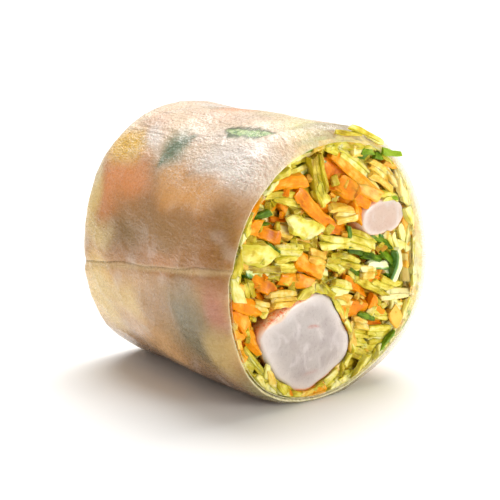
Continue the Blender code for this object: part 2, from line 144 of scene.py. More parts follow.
# What is seen of each leaf: its measures as above, blur, colour, tint and how clear the film is.
# The back leaf shows only as a blurred shade, which lies at another slant than its blade.
SEEN_LEAVES = (
    (LEAVES["herb_leaf_front"], 0.25, "leaf", 0.40, 0.70),
    ((-0.0018, 128.5, 112.0, 0.0088, 0.0042), 0.70, "dark_leaf", 0.90, 0.0),
)

# The filling: its gap to the paper's middle, and how deep behind the rim its layers lie
FILLING_GAP = 1.6 * THICKNESS + 0.0002
RIM_CLOSE = 0.00034
CORE_DEPTH = 0.0040
CORE_GAP = 0.0003
CORE_BUMPS = 0.0003
LAYER_DEPTHS = ((0.0037, 0.0029), (0.0029, 0.0020))
LAYER_COUNTS = (260, 240)
TOP_DEPTHS = (0.0019, 0.0007)
FRONT_TOP_DEPTHS = (0.0030, 0.0018)
FRONT_TOP_COUNT = 190
BACK_TOP_COUNT = 200
SHOWN_DEPTH = 0.0023
SHOWN_LIFT = 0.0017
LOOSE_DEPTH = 0.0004
LOOSE_THICKNESS = 0.0008
SCATTER_RADIUS = 0.0212
SCATTER_TRIES = 20
SCATTER_MARGIN = 0.0002
RIM_MARGIN = 0.0004
SCATTER_WIDTHS = (0.0008, 0.0019)
SCATTER_LENGTHS = (0.0024, 0.0060)
SCATTER_TILT = 14.0
SCATTER_THICKNESS = 0.8
SCATTER_TONE = (0.45, 0.25)
UNDER_SIZE = 1.25
FRONT_TOP_SIZE = 0.8
LEAN_SPREAD = 21.0
USUAL_LEAN = 163.0
STEEP_SHARE = 0.25
STEEP_LENGTH = 0.0042
STEEP_TILTS = (35.0, 70.0)
HERB_SIZE = 0.7
SHRED_STEP = 0.0006
SHARP_TURN = 34.0
STRAND_WIDTH = 0.00095
SOFT_WIDTH = 3.0
CURVED_LEAN = 88
CURVED_BEND = 0.16
SEED = 23

# The tables give heights from this far below the roll's axis
TABLE_AXIS = 0.023

# Shreds under the rim, with the left part's own kinds, and against the large shrimp, which they
# overlap except at its dotted upper left
RIM_SHREDS = 96
RIM_SHARES = (0.52, 0.18, 0.27, 0.03)
LEFT_RIM = (164.0, 262.0)
LEFT_CARROT = (183.0, 214.0)
FRONT_RIM_DEPTHS = (0.0003, 0.0018)
BACK_RIM_DEPTHS = (0.0004, 0.0026)
RIM_DROP = 0.0010
ROUND_STRAY = 0.4
SHRIMP_SHREDS = 50
SHRIMP_DEPTHS = (0.0002, 0.0010)
SHRIMP_AWAY = (0.0002, 0.0006)
FREE_AWAY = 0.0004
SHRIMP_SHARES = (0.56, 0.18, 0.26)
SHRIMP_FREE = (78.0, 235.0)
SHRIMP_BARE = (96.0, 196.0)
SHRIMP_GAP = 0.0001
SHRIMP_OVERLAP = 0.97
SMALL_SHRIMP_OVERLAP = 0.86
NOTHING = 1e-6

# How these shreds may lie: stray of lean and tilt, lengths, widths, thickness and tones
RIM_LIE = (35.0, 15.0, (0.0030, 0.0052), (0.0012, 0.0024), 0.0011, (0.3, 1.0))
SHRIMP_LIE = (40.0, 10.0, (0.0022, 0.0042), (0.0010, 0.0018), 0.0010, (0.2, 0.9))

# Shreds grow paler towards the right of the front cut: painted light, for the glow that comes through the
# roll's right side
PASTEL_GLOW = 0.6
PASTEL_SIDE = (0.0095, 0.0165)

# Shreds that show on the front cut, in mm: across, height, lean, length, width, lift 0 to 1, tone
# A low tone is partly painted shade: pieces that lie deep in shade were given one
CARROT = (
    (2.6, 37.0, 122, 9.0, 5.2, 0.25, 0.22),
    (5.4, 34.6, 146, 8.0, 3.4, 0.55, 0.50),
    (5.2, 37.8, 143, 12.5, 1.7, 0.85, 0.72),
    (7.2, 35.2, 148, 7.5, 2.4, 0.75, 0.78),
    (-8.6, 37.7, 4, 7.6, 2.3, 0.60, 0.62),
    (-2.9, 32.6, 139, 10.5, 2.2, 0.70, 0.45),
    (-15.6, 31.4, 0, 2.8, 2.5, 0.80, 0.80),
    (-12.0, 29.9, 158, 5.0, 2.2, 0.30, 0.30),
    (1.5, 28.9, 172, 6.0, 1.9, 0.30, 0.25),
    (6.9, 30.6, 128, 6.5, 2.6, 0.55, 0.70),
    (-4.1, 23.8, 150, 6.5, 2.6, 0.60, 0.75),
    (-6.6, 21.7, 164, 6.2, 2.3, 0.50, 0.60),
    (-18.4, 22.0, 0, 2.4, 2.2, 0.70, 0.80),
    (-12.8, 21.7, 150, 5.6, 2.7, 0.50, 0.40),
    (-16.8, 19.2, 156, 6.2, 2.4, 0.60, 0.60),
    (-16.4, 15.2, 118, 8.0, 3.2, 0.50, 0.65),
    (-17.6, 16.8, 140, 4.0, 1.6, 0.20, 0.10),
    (6.4, 14.8, 166, 6.6, 3.0, 0.35, 0.25),
    (10.9, 14.2, 130, 4.6, 2.2, 0.55, 0.50),
    (15.4, 11.8, 118, 4.2, 2.3, 0.85, 0.75),
    (6.2, 18.7, 146, 6.2, 2.0, 0.50, 0.35),
    (10.8, 19.3, 162, 4.2, 1.6, 0.50, 0.50),
    (10.3, 11.9, 165, 4.5, 1.6, 0.30, 0.20),
    (4.6, 41.4, 166, 9.0, 1.3, 0.30, 0.50),
    (18.0, 28.6, 100, 6.0, 2.6, 0.55, 0.70),
    (18.4, 22.4, 80, 5.0, 2.4, 0.45, 0.80),
)
COURGETTE = (
    (-2.3, 37.8, 110, 8.2, 2.7, 0.80, 0.25),
    (6.4, 38.6, 143, 12.5, 1.8, 0.75, 0.80),
    (13.0, 33.1, 165, 4.6, 1.8, 0.70, 0.40),
    (-6.4, 39.3, 14, 5.5, 1.0, 0.50, 0.50),
    (-8.4, 35.6, 170, 8.2, 1.3, 0.60, 0.45),
    (-7.4, 34.5, 166, 7.4, 1.1, 0.70, 0.55),
    (-16.2, 35.0, 168, 2.8, 0.9, 1.00, 0.70),
    (-1.9, 35.2, 128, 4.6, 2.2, 0.85, 0.60),
    (-5.0, 33.2, 160, 6.0, 1.0, 0.40, 0.40),
    (-5.0, 30.1, 160, 7.8, 3.4, 0.80, 0.80),
    (-14.4, 27.1, 164, 7.0, 4.3, 0.80, 0.70),
    (-8.4, 26.6, 174, 5.6, 2.5, 0.85, 0.70),
    (-13.6, 24.6, 172, 7.4, 1.3, 0.50, 0.20),
    (-3.6, 26.6, 166, 5.4, 1.4, 0.40, 0.15),
    (1.5, 26.9, 172, 6.4, 2.0, 0.80, 0.60),
    (7.0, 26.3, 158, 5.8, 2.8, 0.75, 0.60),
    (14.2, 25.4, 112, 4.4, 2.0, 0.60, 0.40),
    (4.8, 23.1, 160, 5.2, 2.0, 0.60, 0.45),
    (1.9, 24.1, 174, 4.8, 1.7, 0.60, 0.40),
    (1.0, 22.9, 150, 3.0, 1.0, 0.90, 0.80),
    (-16.0, 22.0, 112, 3.8, 2.0, 0.60, 0.30),
    (-18.6, 25.9, 100, 5.6, 1.5, 0.80, 0.90),
    (-8.6, 24.2, 168, 5.5, 1.5, 0.50, 0.50),
    (-9.8, 22.6, 150, 4.0, 1.2, 0.40, 0.50),
    (1.9, 19.3, 168, 5.4, 2.3, 0.90, 0.80),
    (8.2, 19.1, 148, 8.4, 1.4, 0.70, 0.50),
    (9.9, 18.0, 150, 8.6, 1.2, 0.60, 0.30),
    (13.2, 18.2, 160, 7.0, 1.9, 0.60, 0.30),
    (14.8, 14.8, 96, 4.2, 1.4, 0.80, 0.70),
    (6.6, 10.7, 164, 6.4, 1.5, 0.60, 0.45),
    (7.0, 9.0, 160, 6.6, 1.6, 0.55, 0.40),
    (6.2, 7.3, 158, 5.6, 1.6, 0.50, 0.30),
    (12.4, 10.0, 170, 7.4, 1.8, 0.60, 0.40),
    (12.8, 8.3, 172, 7.0, 1.5, 0.50, 0.35),
    (16.8, 13.6, 165, 4.4, 1.6, 0.60, 0.50),
    (-13.0, 7.4, 130, 12.8, 1.1, 0.90, 0.50),
    (-13.9, 8.7, 130, 10.4, 0.9, 0.80, 0.75),
    (-11.3, 5.9, 132, 8.0, 0.8, 0.70, 0.40),
    (2.2, 4.8, 20, 5.6, 1.8, 0.40, 0.40),
    (12.3, 12.7, 165, 4.0, 1.5, 0.60, 0.60),
    (17.6, 25.6, 95, 5.0, 2.2, 0.50, 0.55),
    (-18.4, 24.6, 76, 4.4, 1.0, 0.90, 0.95),
    (9.2, 6.4, 160, 6.0, 1.5, 0.45, 0.55),
    (10.4, 7.4, 165, 5.0, 1.3, 0.50, 0.75),
)
CABBAGE = (
    (11.0, 37.2, 146, 8.4, 2.8, 0.75, 0.60),
    (2.7, 31.6, 172, 5.8, 2.6, 0.95, 0.60),
    (-1.9, 24.9, 160, 4.4, 2.1, 0.75, 0.50),
    (-9.3, 19.2, 172, 6.6, 2.5, 0.90, 0.60),
    (3.2, 16.8, 166, 4.2, 2.1, 0.80, 0.60),
    (7.0, 12.3, 160, 3.6, 1.8, 0.90, 0.80),
    (15.4, 16.0, 172, 8.4, 1.7, 0.90, 0.80),
    (8.8, 20.9, 176, 3.8, 2.2, 0.80, 0.90),
    (-13.7, 18.7, 160, 3.2, 1.5, 0.80, 0.60),
    (12.8, 36.4, 130, 5.0, 2.2, 0.60, 0.80),
    (18.5, 21.0, 95, 6.0, 2.4, 0.60, 0.90),
    (16.5, 8.9, 150, 4.6, 1.8, 0.60, 0.80),
)
HERB = (
    (7.0, 40.5, 172, 2.4, 1.2, 0.60, 0.60),
    (11.8, 40.0, 170, 4.8, 1.2, 0.90, 0.70),
    (14.0, 32.9, 160, 1.8, 0.8, 0.90, 0.80),
    (-13.6, 33.2, 10, 3.4, 1.2, 0.70, 0.30),
    (-11.8, 27.6, 150, 3.2, 1.2, 1.00, 0.35),
    (4.4, 28.2, 100, 2.2, 0.8, 0.90, 0.40),
    (6.4, 24.6, 158, 4.2, 1.2, 0.80, 0.10),
    (11.7, 25.8, 150, 4.8, 1.1, 0.80, 0.30),
    (9.6, 23.3, 160, 5.0, 1.4, 0.80, 0.30),
    (12.9, 23.0, 140, 3.4, 1.1, 0.80, 0.40),
    (5.6, 21.6, 140, 2.6, 0.8, 0.90, 0.20),
    (8.7, 13.2, 155, 3.8, 0.9, 0.80, 0.40),
    (3.3, 12.7, 106, 2.4, 0.7, 0.90, 0.40),
    (19.0, 12.0, 150, 1.8, 0.8, 0.90, 0.80),
    (-13.2, 31.8, 170, 2.6, 0.8, 0.50, 0.10),
)
CUCUMBER = (
    (14.9, 21.0, 88, 6.2, 1.9, 0.90, 0.30),
    (10.9, 21.7, 172, 4.6, 1.9, 0.70, 0.80),
    (12.6, 26.6, 152, 4.6, 1.5, 0.60, 0.50),
)
# Shreds that lie loose over the top rim: kind, then as above, with the lift in mm
LOOSE = (
    ("courgette", 6.6, 44.4, 156, 6.6, 1.0, 0.6, 0.62),
    ("courgette", 9.0, 43.2, 152, 4.0, 0.9, 0.3, 0.80),
    ("courgette", 3.4, 44.6, 172, 5.4, 0.8, 0.2, 0.45),
    ("herb", 12.6, 40.6, 168, 4.4, 1.3, 0.5, 0.95),
    ("herb", 7.4, 41.2, 172, 2.6, 1.2, 0.3, 0.80),
)
SHOWN = {"carrot": CARROT, "courgette": COURGETTE, "cabbage": CABBAGE, "herb": HERB,
         "cucumber": CUCUMBER}
KIND_SHARES = (("courgette", 0.54), ("carrot", 0.19), ("cabbage", 0.22), ("herb", 0.03),
               ("cucumber", 0.02))

# Soft patches of filling seen through the paper, and a few of painted light, marked below: along,
# angle, half length, half width, heading, colour and strength
PATCHES = (
    (-11.0, 152.0, 8.4, 6.6, 8, "salmon", 0.95),
    (-16.0, 132.0, 5.6, 3.6, 12, "yellow_orange", 1.0),
    (-13.0, 118.0, 5.4, 2.6, 20, "pink", 0.8),
    (-9.5, 126.0, 5.4, 2.0, 24, "white", 0.8),
    (-2.6, 126.0, 4.6, 2.4, 58, "sage", 0.75),
    (-2.0, 103.0, 8.0, 2.6, 0, "pink", 0.6),
    # Painted highlight: a white sheen on the top near the front rim
    (13.5, 129.0, 8.4, 5.2, -4, "white", 1.0),
    (4.0, 118.0, 7.0, 2.6, -6, "white", 0.5),
    (8.5, 146.0, 9.0, 3.2, -10, "peach", 0.9),
    (1.5, 141.0, 3.0, 2.2, 20, "peach", 0.8),
    (-3.0, 162.0, 10.0, 4.2, 6, "tan", 0.85),
    (7.5, 165.0, 7.0, 4.0, -8, "tan", 0.75),
    (-9.0, 171.0, 8.0, 3.2, 0, "grey_green", 0.55),
    (6.0, 176.0, 4.6, 2.0, -20, "orange", 0.65),
    (-15.5, 174.0, 5.0, 3.4, 0, "cream", 0.7),
    # Painted light: the glow of light through the sheet at the back rim's left edge
    (-20.2, 146.0, 1.8, 13.0, 0, "painted_edge_glow", 0.9),
    (-20.6, 190.0, 1.4, 12.0, 0, "painted_edge_glow", 0.7),
    (-15.5, 203.0, 6.4, 6.4, 0, "cream", 0.9),
    (-13.5, 189.0, 4.4, 2.6, 15, "yellow_orange", 0.5),
    (-6.0, 198.0, 6.0, 3.4, 0, "cream", 0.7),
    (12.0, 201.0, 7.6, 7.4, 6, "grey_green", 1.0),
    (19.0, 190.0, 2.0, 4.6, 0, "pink_red", 0.9),
    (18.6, 210.0, 3.0, 4.4, 0, "cream", 0.6),
    (2.7, 197.0, 5.4, 4.6, 0, "tan", 0.8),
    # Painted light: the lower side made lighter, in place of light that does not reach it
    (-1.0, 220.0, 7.0, 4.0, 0, "painted_under_light", 0.8),
    (-18.8, 160.0, 2.2, 6.0, 0, "cream", 0.8),
    (17.5, 92.0, 6.6, 5.6, 0, "yellow", 1.0),
    (6.0, 86.0, 8.0, 3.0, 0, "yellow", 0.4),
)
HIDDEN_PATCHES = 34
HIDDEN_COLOURS = ("salmon", "yellow_orange", "cream", "white", "grey_green", "pink", "orange",
                  "herb")
PATCH_WARP_ALONG = 0.0006
PATCH_WARP_AROUND = 1.6

# Parts of the roll's side, as turns: where they start, are full, fade and end
SIDE_ZONE = (118.0, 158.0, 180.0, 196.0)
DOUBLE_START = 178.0
DOUBLE_ZONE = (0.0, 12.0, 130.0, 232.0)
UNDER_ZONE = (204.0, 236.0, 290.0, 325.0)
LOW_RIM = (214.0, 236.0, 322.0, 346.0)
SMOOTH_SIDE = (134.0, 160.0, 330.0, 380.0)

# Others as a middle angle and how far from it they are full and end
FAR_ZONE = (50.0, 20.0, 52.0)
CLEAR_RIM = (15.0, 64.0, 108.0)
LEFT_CURL = (180.0, 28.0, 60.0)
SMOOTH_RIGHT = (10.0, 44.0, 84.0)

# How strongly the sheet's blotches, the seam's painted light, the rims, the painted shade on the curled
# left rim and the line along the cut are painted, and where
TAN_BLOTCHES = 0.42
WHITE_BLOTCHES = 0.30
PATCH_FADE = (0.30, 1.45)
SEAM_PAINT = 0.6
SEAM_LINE = (0.001, 0.005)
RIM_CLEAR_FROM = 0.0066
RIM_CLEAR_TO = 0.0020
CURL_SHADE = 0.07
LOW_RIM_PAINT = 0.8
RIM_LINE_PAINT = 0.85
RIM_LINE = (0.00012, 0.00002)

# How much the film covers on the whole, how much less at the front rim's left and right, at the
# back rim and low at the front rim, and its limits
COVER = 0.90
COVER_WAVE = 0.04
FRONT_CLEAR = (0.14, 0.56)
BACK_CLEAR = 0.45
LOW_CLEAR = 0.26
LEAST_COVER = 0.20
MOST_COVER = 0.97


def rgb(red, green, blue):
    """A linear colour from values of 0 to 255."""
    return tuple(((value / 255 + 0.055) / 1.055) ** 2.4 if value > 10 else value / 3294.6
                 for value in (red, green, blue))


# The colours that show through the paper, and colours of painted light: a glow at the edge, light on the
# underside, and white, which also paints a highlight
VEILED = {
    "yellow_orange": rgb(255, 200, 62),
    "salmon": rgb(250, 158, 84),
    "peach": rgb(250, 180, 98),
    "sage": rgb(132, 146, 112),
    "orange": rgb(222, 150, 84),
    # White also paints a highlight on the top, besides white filling and blotches
    "white": rgb(253, 239, 226),
    "pink": rgb(246, 204, 172),
    "tan": rgb(176, 130, 72),
    "leaf": rgb(176, 200, 150),
    "dark_leaf": rgb(104, 128, 98),
    "cream": rgb(248, 214, 130),
    "grey_green": rgb(126, 112, 68),
    "herb": rgb(120, 135, 80),
    "yellow": rgb(246, 234, 150),
    "pink_red": rgb(216, 140, 108),
    "rim_green": rgb(214, 204, 142),
    # Painted light: the glow through the sheet's edge
    "painted_edge_glow": rgb(255, 238, 200),
    # Painted light on the shaded underside
    "painted_under_light": rgb(250, 196, 130),
}

# The paper's colours: its own, with painted light on the top and seam and painted shade on side and
# underside
PAPER_TOP = rgb(250, 217, 180)
PAPER_FAR = rgb(222, 186, 144)
PAPER_SIDE = rgb(186, 126, 60)
PAPER_DOUBLE = rgb(220, 166, 97)
# Painted shade: the underside, which lies in shadow
PAPER_UNDER_SHADE = rgb(146, 106, 68)
PAPER_RIM = rgb(255, 238, 186)
# Painted light: a pale line that lifts the shade at the sheet's free edge
PAPER_SEAM_LIGHT = rgb(244, 208, 150)

# Shrimp colours: flesh, blush and skin
SHRIMP_COLOURS = {
    "shrimp_large": (rgb(180, 170, 165), rgb(164, 151, 148), rgb(232, 112, 56)),
    "shrimp_small": (rgb(198, 172, 154), rgb(190, 156, 138), rgb(230, 150, 104)),
}

# Shred colours: stops from dark to light, the dark end partly painted shade, fibres, specks, a rim of
# painted light through the thin edges, and the light's spread inside
SHRED_COLOURS = {
    "carrot": (((0.0, rgb(186, 94, 0)), (0.30, rgb(222, 130, 2)), (0.65, rgb(240, 150, 12)),
                (1.0, rgb(252, 200, 92))),
               rgb(250, 188, 62), rgb(204, 108, 0), rgb(244, 166, 18), (1.0, 0.7, 0.5)),
    "courgette": (((0.0, rgb(150, 122, 16)), (0.30, rgb(196, 174, 40)), (0.60, rgb(222, 208, 82)),
                   (1.0, rgb(249, 239, 164))),
                  rgb(244, 230, 146), rgb(172, 128, 24), rgb(190, 186, 32), (1.0, 0.85, 0.6)),
    "cabbage": (((0.0, rgb(204, 136, 36)), (0.4, rgb(220, 172, 62)), (0.7, rgb(234, 202, 92)),
                 (1.0, rgb(251, 232, 164))),
                rgb(250, 230, 160), rgb(206, 144, 42), rgb(216, 182, 52), (1.0, 0.85, 0.6)),
    "herb": (((0.0, rgb(46, 70, 10)), (0.4, rgb(82, 116, 14)), (1.0, rgb(142, 172, 34))),
             rgb(146, 172, 50), rgb(40, 70, 8), rgb(110, 146, 20), (1.0, 0.85, 0.6)),
}

# A mesh attribute's kind and field by how many values a point has
FIELDS = {1: ("FLOAT", "value"), 3: ("FLOAT_VECTOR", "vector"), 4: ("FLOAT_COLOR", "color")}


def soft_step(value, low, high):
    """A smooth step from 0 to 1."""
    share = np.clip((value - low) / (high - low), 0.0, 1.0)
    return share * share * (3.0 - 2.0 * share)


def turn_from(angle, middle):
    """The turn from one angle to another, from -180 to 180."""
    return (angle - middle + 180.0) % 360.0 - 180.0


def arc_from(angle, middle):
    """How far round the roll's side a place is from an angle."""
    return np.radians(turn_from(angle, middle)) * MEAN_RADIUS


def near(angle, middle, full, end):
    """1 up to a turn from an angle, falling to 0 at a wider turn."""
    return 1.0 - soft_step(np.abs(turn_from(angle, middle)), full, end)


def zone(turn, start, full, fade, end):
    """1 between two turns, rising before the first and falling after the second."""
    return soft_step(turn, start, full) * (1.0 - soft_step(turn, fade, end))


def laid_over(colours, share, colour):
    """Colours with a share of one colour laid over them."""
    share = share[:, None]
    return colours * (1.0 - share) + share * np.array(colour)


def swell(angle, bumps):
    """The sum of smooth bumps given as angle, width and height."""
    total = 0.0
    for middle, width, height in bumps:
        total = total + height * np.exp(-((turn_from(angle, middle) / width) ** 2))
    return total


def seam_angle(x):
    """Where the sheet's free edge lies at a place along the roll."""
    return SEAM_ANGLE + SEAM_SLANT * x


def section_radius(angle, x):
    """The roll's uneven radius: the section's bumps and two slow waves."""
    turn = np.radians(angle)
    relief = np.sin(2.0 * turn + 260.0 * x) * np.cos(190.0 * x + 0.7)
    relief = relief + 0.6 * np.sin(5.0 * turn - 310.0 * x + 1.1)
    return MEAN_RADIUS + swell(angle, SECTION_BUMPS + LOOK_BUMPS) + SOFT_RELIEF * relief


def waves(seed, count, along_scale, turn_scale):
    """Random waves over the roll's side: a function of place and angle from about -1 to 1."""
    chance = random.Random(seed)
    terms = []
    for _ in range(count):
        around = max(1, round(chance.uniform(0.4, 1.4) * turn_scale)) * chance.choice((-1, 1))
        along = chance.uniform(0.4, 1.4) * along_scale
        terms.append((along, around, chance.uniform(0.0, 2.0 * math.pi)))

    def field(angle, x):
        turn = np.radians(angle)
        total = 0.0
        for along, around, phase in terms:
            total = total + np.sin(along * x / MM + around * turn + phase)
        return total / math.sqrt(count)

    return field


WRINKLES = waves(3, 9, 0.30, 11)
FINE_WRINKLES = waves(4, 12, 0.75, 26)
BLOTCHES = waves(5, 9, 0.35, 7)
SMALL_BLOTCHES = waves(6, 12, 0.9, 19)
WARP_ALONG = waves(7, 9, 0.5, 10)
WARP_AROUND = waves(8, 9, 0.5, 10)


def front_depth(angle):
    """How far behind the front rim the sheet starts to curl in."""
    return FRONT_DEPTH + swell(angle, FRONT_DEPTH_BUMPS)


def curl_at(angle, x):
    """How far the rim has curled in at a place on the roll, from 0 to 1."""
    depth = front_depth(angle)
    front = (x - LENGTH / 2 + depth) / depth
    back = (-x - LENGTH / 2 + BACK_DEPTH) / BACK_DEPTH
    past = np.where(x > 0.0, front, back)
    lean = np.arcsin(np.clip(past, 0.0, 1.0) * math.sin(CURL_END))
    return (1.0 - np.cos(lean)) / (1.0 - math.cos(CURL_END))


def floor_radius(angle, height):
    """The radius at which a place on the roll's underside is a height below the axis."""
    dip = -np.sin(np.radians(angle))
    return np.where(dip > LEAST_DIP, height / np.maximum(dip, LEAST_DIP), 1.0)


def room(angle, x):
    """How far out the filling may reach."""
    reach = np.where(x > 0.0, FRONT_CURL + swell(angle, FRONT_BUMPS), BACK_CURL)
    curl = curl_at(angle, x)
    outside = section_radius(angle, x) - curl * reach
    close = np.where(x > 0.0, soft_step(curl, 0.3, 0.9), 0.0)
    return np.minimum(outside, floor_radius(angle, AXIS_HEIGHT)) - FILLING_GAP + RIM_CLOSE * close


def shrimp_outline(name, angle, x):
    """A shrimp's radius, and its middle, at a place along the roll."""
    radius, bumps, front, back, scale = SHRIMPS[name]
    share = np.clip(0.5 - x / LENGTH, 0.0, 1.0)
    size = (radius + swell(angle, bumps)) * (1.0 + (scale - 1.0) * share)
    size = size + SHRIMP_RIPPLE * np.sin(2.0 * math.pi * SHRIMP_SEGMENTS * share)
    for height, count, phase in SHRIMP_WAVES:
        size = size + radius * height * np.sin(count * np.radians(angle) + phase)
    across = front[0] + (back[0] - front[0]) * share
    up = front[1] + (back[1] - front[1]) * share
    return size, across, up


def to_row(points):
    """Points round the roll's axis as points in the row frame."""
    return points + np.array((MIDDLE, AXIS_ACROSS, AXIS_HEIGHT))


def make(name, points, faces, attributes, materials, slots=None):
    """A smooth mesh object with its own attributes and materials."""
    mesh = bpy.data.meshes.new(name)
    mesh.from_pydata([tuple(point) for point in to_row(np.asarray(points))], [], faces)
    for key, values in attributes.items():
        values = np.asarray(values, dtype=np.float32)
        kind, field = FIELDS[1 if values.ndim == 1 else values.shape[1]]
        mesh.attributes.new(key, kind, "POINT").data.foreach_set(field, values.ravel())
    for material in materials:
        mesh.materials.append(material)
    if slots is not None:
        mesh.polygons.foreach_set("material_index", slots)
    mesh.shade_smooth()
    mesh.update()
    thing = bpy.data.objects.new(name, mesh)
    bpy.context.scene.collection.objects.link(thing)
    return thing


def tube_faces(spans, columns, base=0):
    """The quads between rings of points that follow each other."""
    faces = []
    for span in range(spans):
        first, second = base + span * columns, base + (span + 1) * columns
        for column in range(columns):
            following = (column + 1) % columns
            faces.append((first + column, first + following, second + following, second + column))
    return faces


def declare(thing, slot, *nodes):
    """The object goes with the roll and stands for nodes. Its slot is not used."""
    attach(thing, "root")
    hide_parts(*nodes)


def opaque(colour):
    """A colour with full alpha. A socket stays as it is."""
    return colour if isinstance(colour, bpy.types.NodeSocket) else (*colour, 1.0)


class Look:
    """A material with short ways to add nodes to it."""

    def __init__(self, name):
        self.material = bpy.data.materials.new(name)
        self.material.use_nodes = True
        self.tree = self.material.node_tree
        self.tree.nodes.clear()

    def add(self, kind, inputs=None, **settings):
        node = self.tree.nodes.new(kind)
        for key, value in settings.items():
            setattr(node, key, value)
        for key, value in (inputs or {}).items():
            if isinstance(value, bpy.types.NodeSocket):
                self.tree.links.new(value, node.inputs[key])
            else:
                node.inputs[key].default_value = value
        return node

    def attribute(self, name, output="Fac"):
        return self.add("ShaderNodeAttribute", attribute_name=name).outputs[output]

    def place(self, source="Object", scale=(1.0, 1.0, 1.0)):
        if source == "Object":
            spot = self.add("ShaderNodeTexCoord").outputs["Object"]
        else:
            spot = self.attribute(source, "Vector")
        return self.add("ShaderNodeMapping", {"Vector": spot, "Scale": scale}).outputs["Vector"]

    def noise(self, scale, detail=3.0, rough=0.55, vector=None, distortion=0.0):
        inputs = {"Scale": scale, "Detail": detail, "Roughness": rough, "Distortion": distortion}
        inputs["Vector"] = self.place() if vector is None else vector
        return self.add("ShaderNodeTexNoise", inputs).outputs["Fac"]

    def band(self, value, low, high, start=0.0, end=1.0):
        inputs = {"Value": value, "From Min": low, "From Max": high, "To Min": start, "To Max": end}
        return self.add("ShaderNodeMapRange", inputs, interpolation_type="SMOOTHSTEP").outputs["Result"]

    def sum(self, operation, first, second=0.0, third=0.0):
        return self.add("ShaderNodeMath", {0: first, 1: second, 2: third}, operation=operation).outputs[0]

    def uneven(self, value, noise, amount):
        """A value raised and lowered by a noise."""
        return self.sum("MULTIPLY_ADD", self.sum("SUBTRACT", noise, 0.5), amount, value)

    def line(self, noise, outer, inner):
        """Thin lines where a noise crosses its middle."""
        return self.band(self.sum("ABSOLUTE", self.sum("SUBTRACT", noise, 0.5)), outer, inner)

    def mix(self, first, second, factor):
        inputs = {0: factor, 6: opaque(first), 7: opaque(second)}
        return self.add("ShaderNodeMix", inputs, data_type="RGBA").outputs[2]

    def ramp(self, value, stops):
        node = self.add("ShaderNodeValToRGB", {"Fac": value})
        elements = node.color_ramp.elements
        for index, (spot, colour) in enumerate(stops):
            element = elements[index] if index < 2 else elements.new(spot)
            element.position = spot
            element.color = (*colour, 1.0)
        return node.outputs["Color"]

    def bump(self, height, distance, strength=1.0):
        inputs = {"Height": height, "Distance": distance, "Strength": strength}
        return self.add("ShaderNodeBump", inputs).outputs["Normal"]

    def finish(self, colour, rough, normal, **constants):
        inputs = {"Base Color": colour, "Roughness": rough, "Normal": normal}
        for key, value in constants.items():
            inputs[key.replace("_", " ").title().replace("Ior", "IOR")] = value
        shader = self.add("ShaderNodeBsdfPrincipled", inputs)
        shader.subsurface_method = "RANDOM_WALK"
        out = self.add("ShaderNodeOutputMaterial")
        self.tree.links.new(shader.outputs[0], out.inputs["Surface"])
        return self.material


def film_look(name, shown):
    """The moist sheet: cloudy, finely wrinkled and partly see-through."""
    hollow_shade_tint, grain_tint, ridge_highlight_tint = rgb(224, 138, 98), rgb(150, 96, 48), rgb(255, 248, 238)
    look = Look(name)
    grain = look.noise(2100.0, 2.0, 0.6)
    thread = look.noise(1050.0, 1.0, 0.5, look.place(scale=(0.65, 1.0, 1.0)), 1.6)
    crinkle = look.noise(560.0, 4.0, 0.62, look.place(scale=(0.55, 1.0, 1.0)), 1.6)
    folds = look.noise(230.0, 3.0, 0.5, look.place(scale=(0.4, 1.0, 1.0)), 1.0)
    veil = look.attribute("veil", "Color")
    busy = look.sum("MULTIPLY", look.attribute("wrinkled"), look.band(folds, 0.34, 0.62, 0.45, 1.0))
    line = look.line(thread, 0.075, 0.015)
    ridge = look.line(crinkle, 0.05, 0.0)
    # The pale lines on the crinkles: partly the sheet's own whitish crinkles, partly painted highlights
    # along them
    pale = look.sum("MULTIPLY", look.sum("MAXIMUM", line, look.sum("MULTIPLY", ridge, 0.7)), busy)
    # Painted shade: a darker pink in the grain's low spots, the sheet's small hollows
    hollow = look.sum("MULTIPLY", look.band(grain, 0.50, 0.34), busy)
    colour = look.mix(veil, hollow_shade_tint, look.sum("MULTIPLY", hollow, 0.38))
    colour = look.mix(colour, grain_tint, look.band(grain, 0.44, 0.30, 0.0, 0.08))
    # The pale crinkle lines laid over the colour, partly painted highlight
    colour = look.mix(colour, ridge_highlight_tint, look.sum("MULTIPLY", pale, 0.45))
    height = look.sum("MULTIPLY_ADD", thread, 0.5, look.sum("MULTIPLY", grain, 0.25))
    height = look.sum("MULTIPLY_ADD", crinkle, 0.7, height)
    height = look.sum("MULTIPLY_ADD", folds, 1.6, height)
    normal = look.bump(height, 0.00055, look.band(busy, 0.1, 0.7, 0.55, 1.0))
    rough = look.band(grain, 0.3, 0.7, 0.20, 0.36)
    if shown:
        cover = look.sum("MULTIPLY_ADD", pale, 0.2, look.attribute("cover"))
    else:
        cover = look.sum("MULTIPLY", look.attribute("cover"), look.band(crinkle, 0.3, 0.7, 0.08, 0.20))
    return look.finish(colour, rough, normal, alpha=cover, subsurface_weight=0.12,
                       subsurface_radius=(0.9, 0.7, 0.5), subsurface_scale=0.0008,
                       coat_weight=0.5, coat_roughness=0.18, specular_ior_level=0.5)


def edge_look(name):
    """The sheet's cut edge, pale and moist."""
    look = Look(name)
    streaks = look.noise(1300.0, 3.0, 0.6)
    colour = look.mix(rgb(226, 216, 150), rgb(244, 236, 196), look.band(streaks, 0.35, 0.65))
    normal = look.bump(streaks, 0.00006)
    cover = look.sum("MAXIMUM", look.band(streaks, 0.25, 0.6, 0.62, 0.82), look.attribute("cover"))
    return look.finish(colour, look.band(streaks, 0.3, 0.7, 0.25, 0.4), normal, alpha=cover,
                       subsurface_weight=0.15, subsurface_radius=(0.9, 0.6, 0.4),
                       subsurface_scale=0.0008, specular_ior_level=0.5)


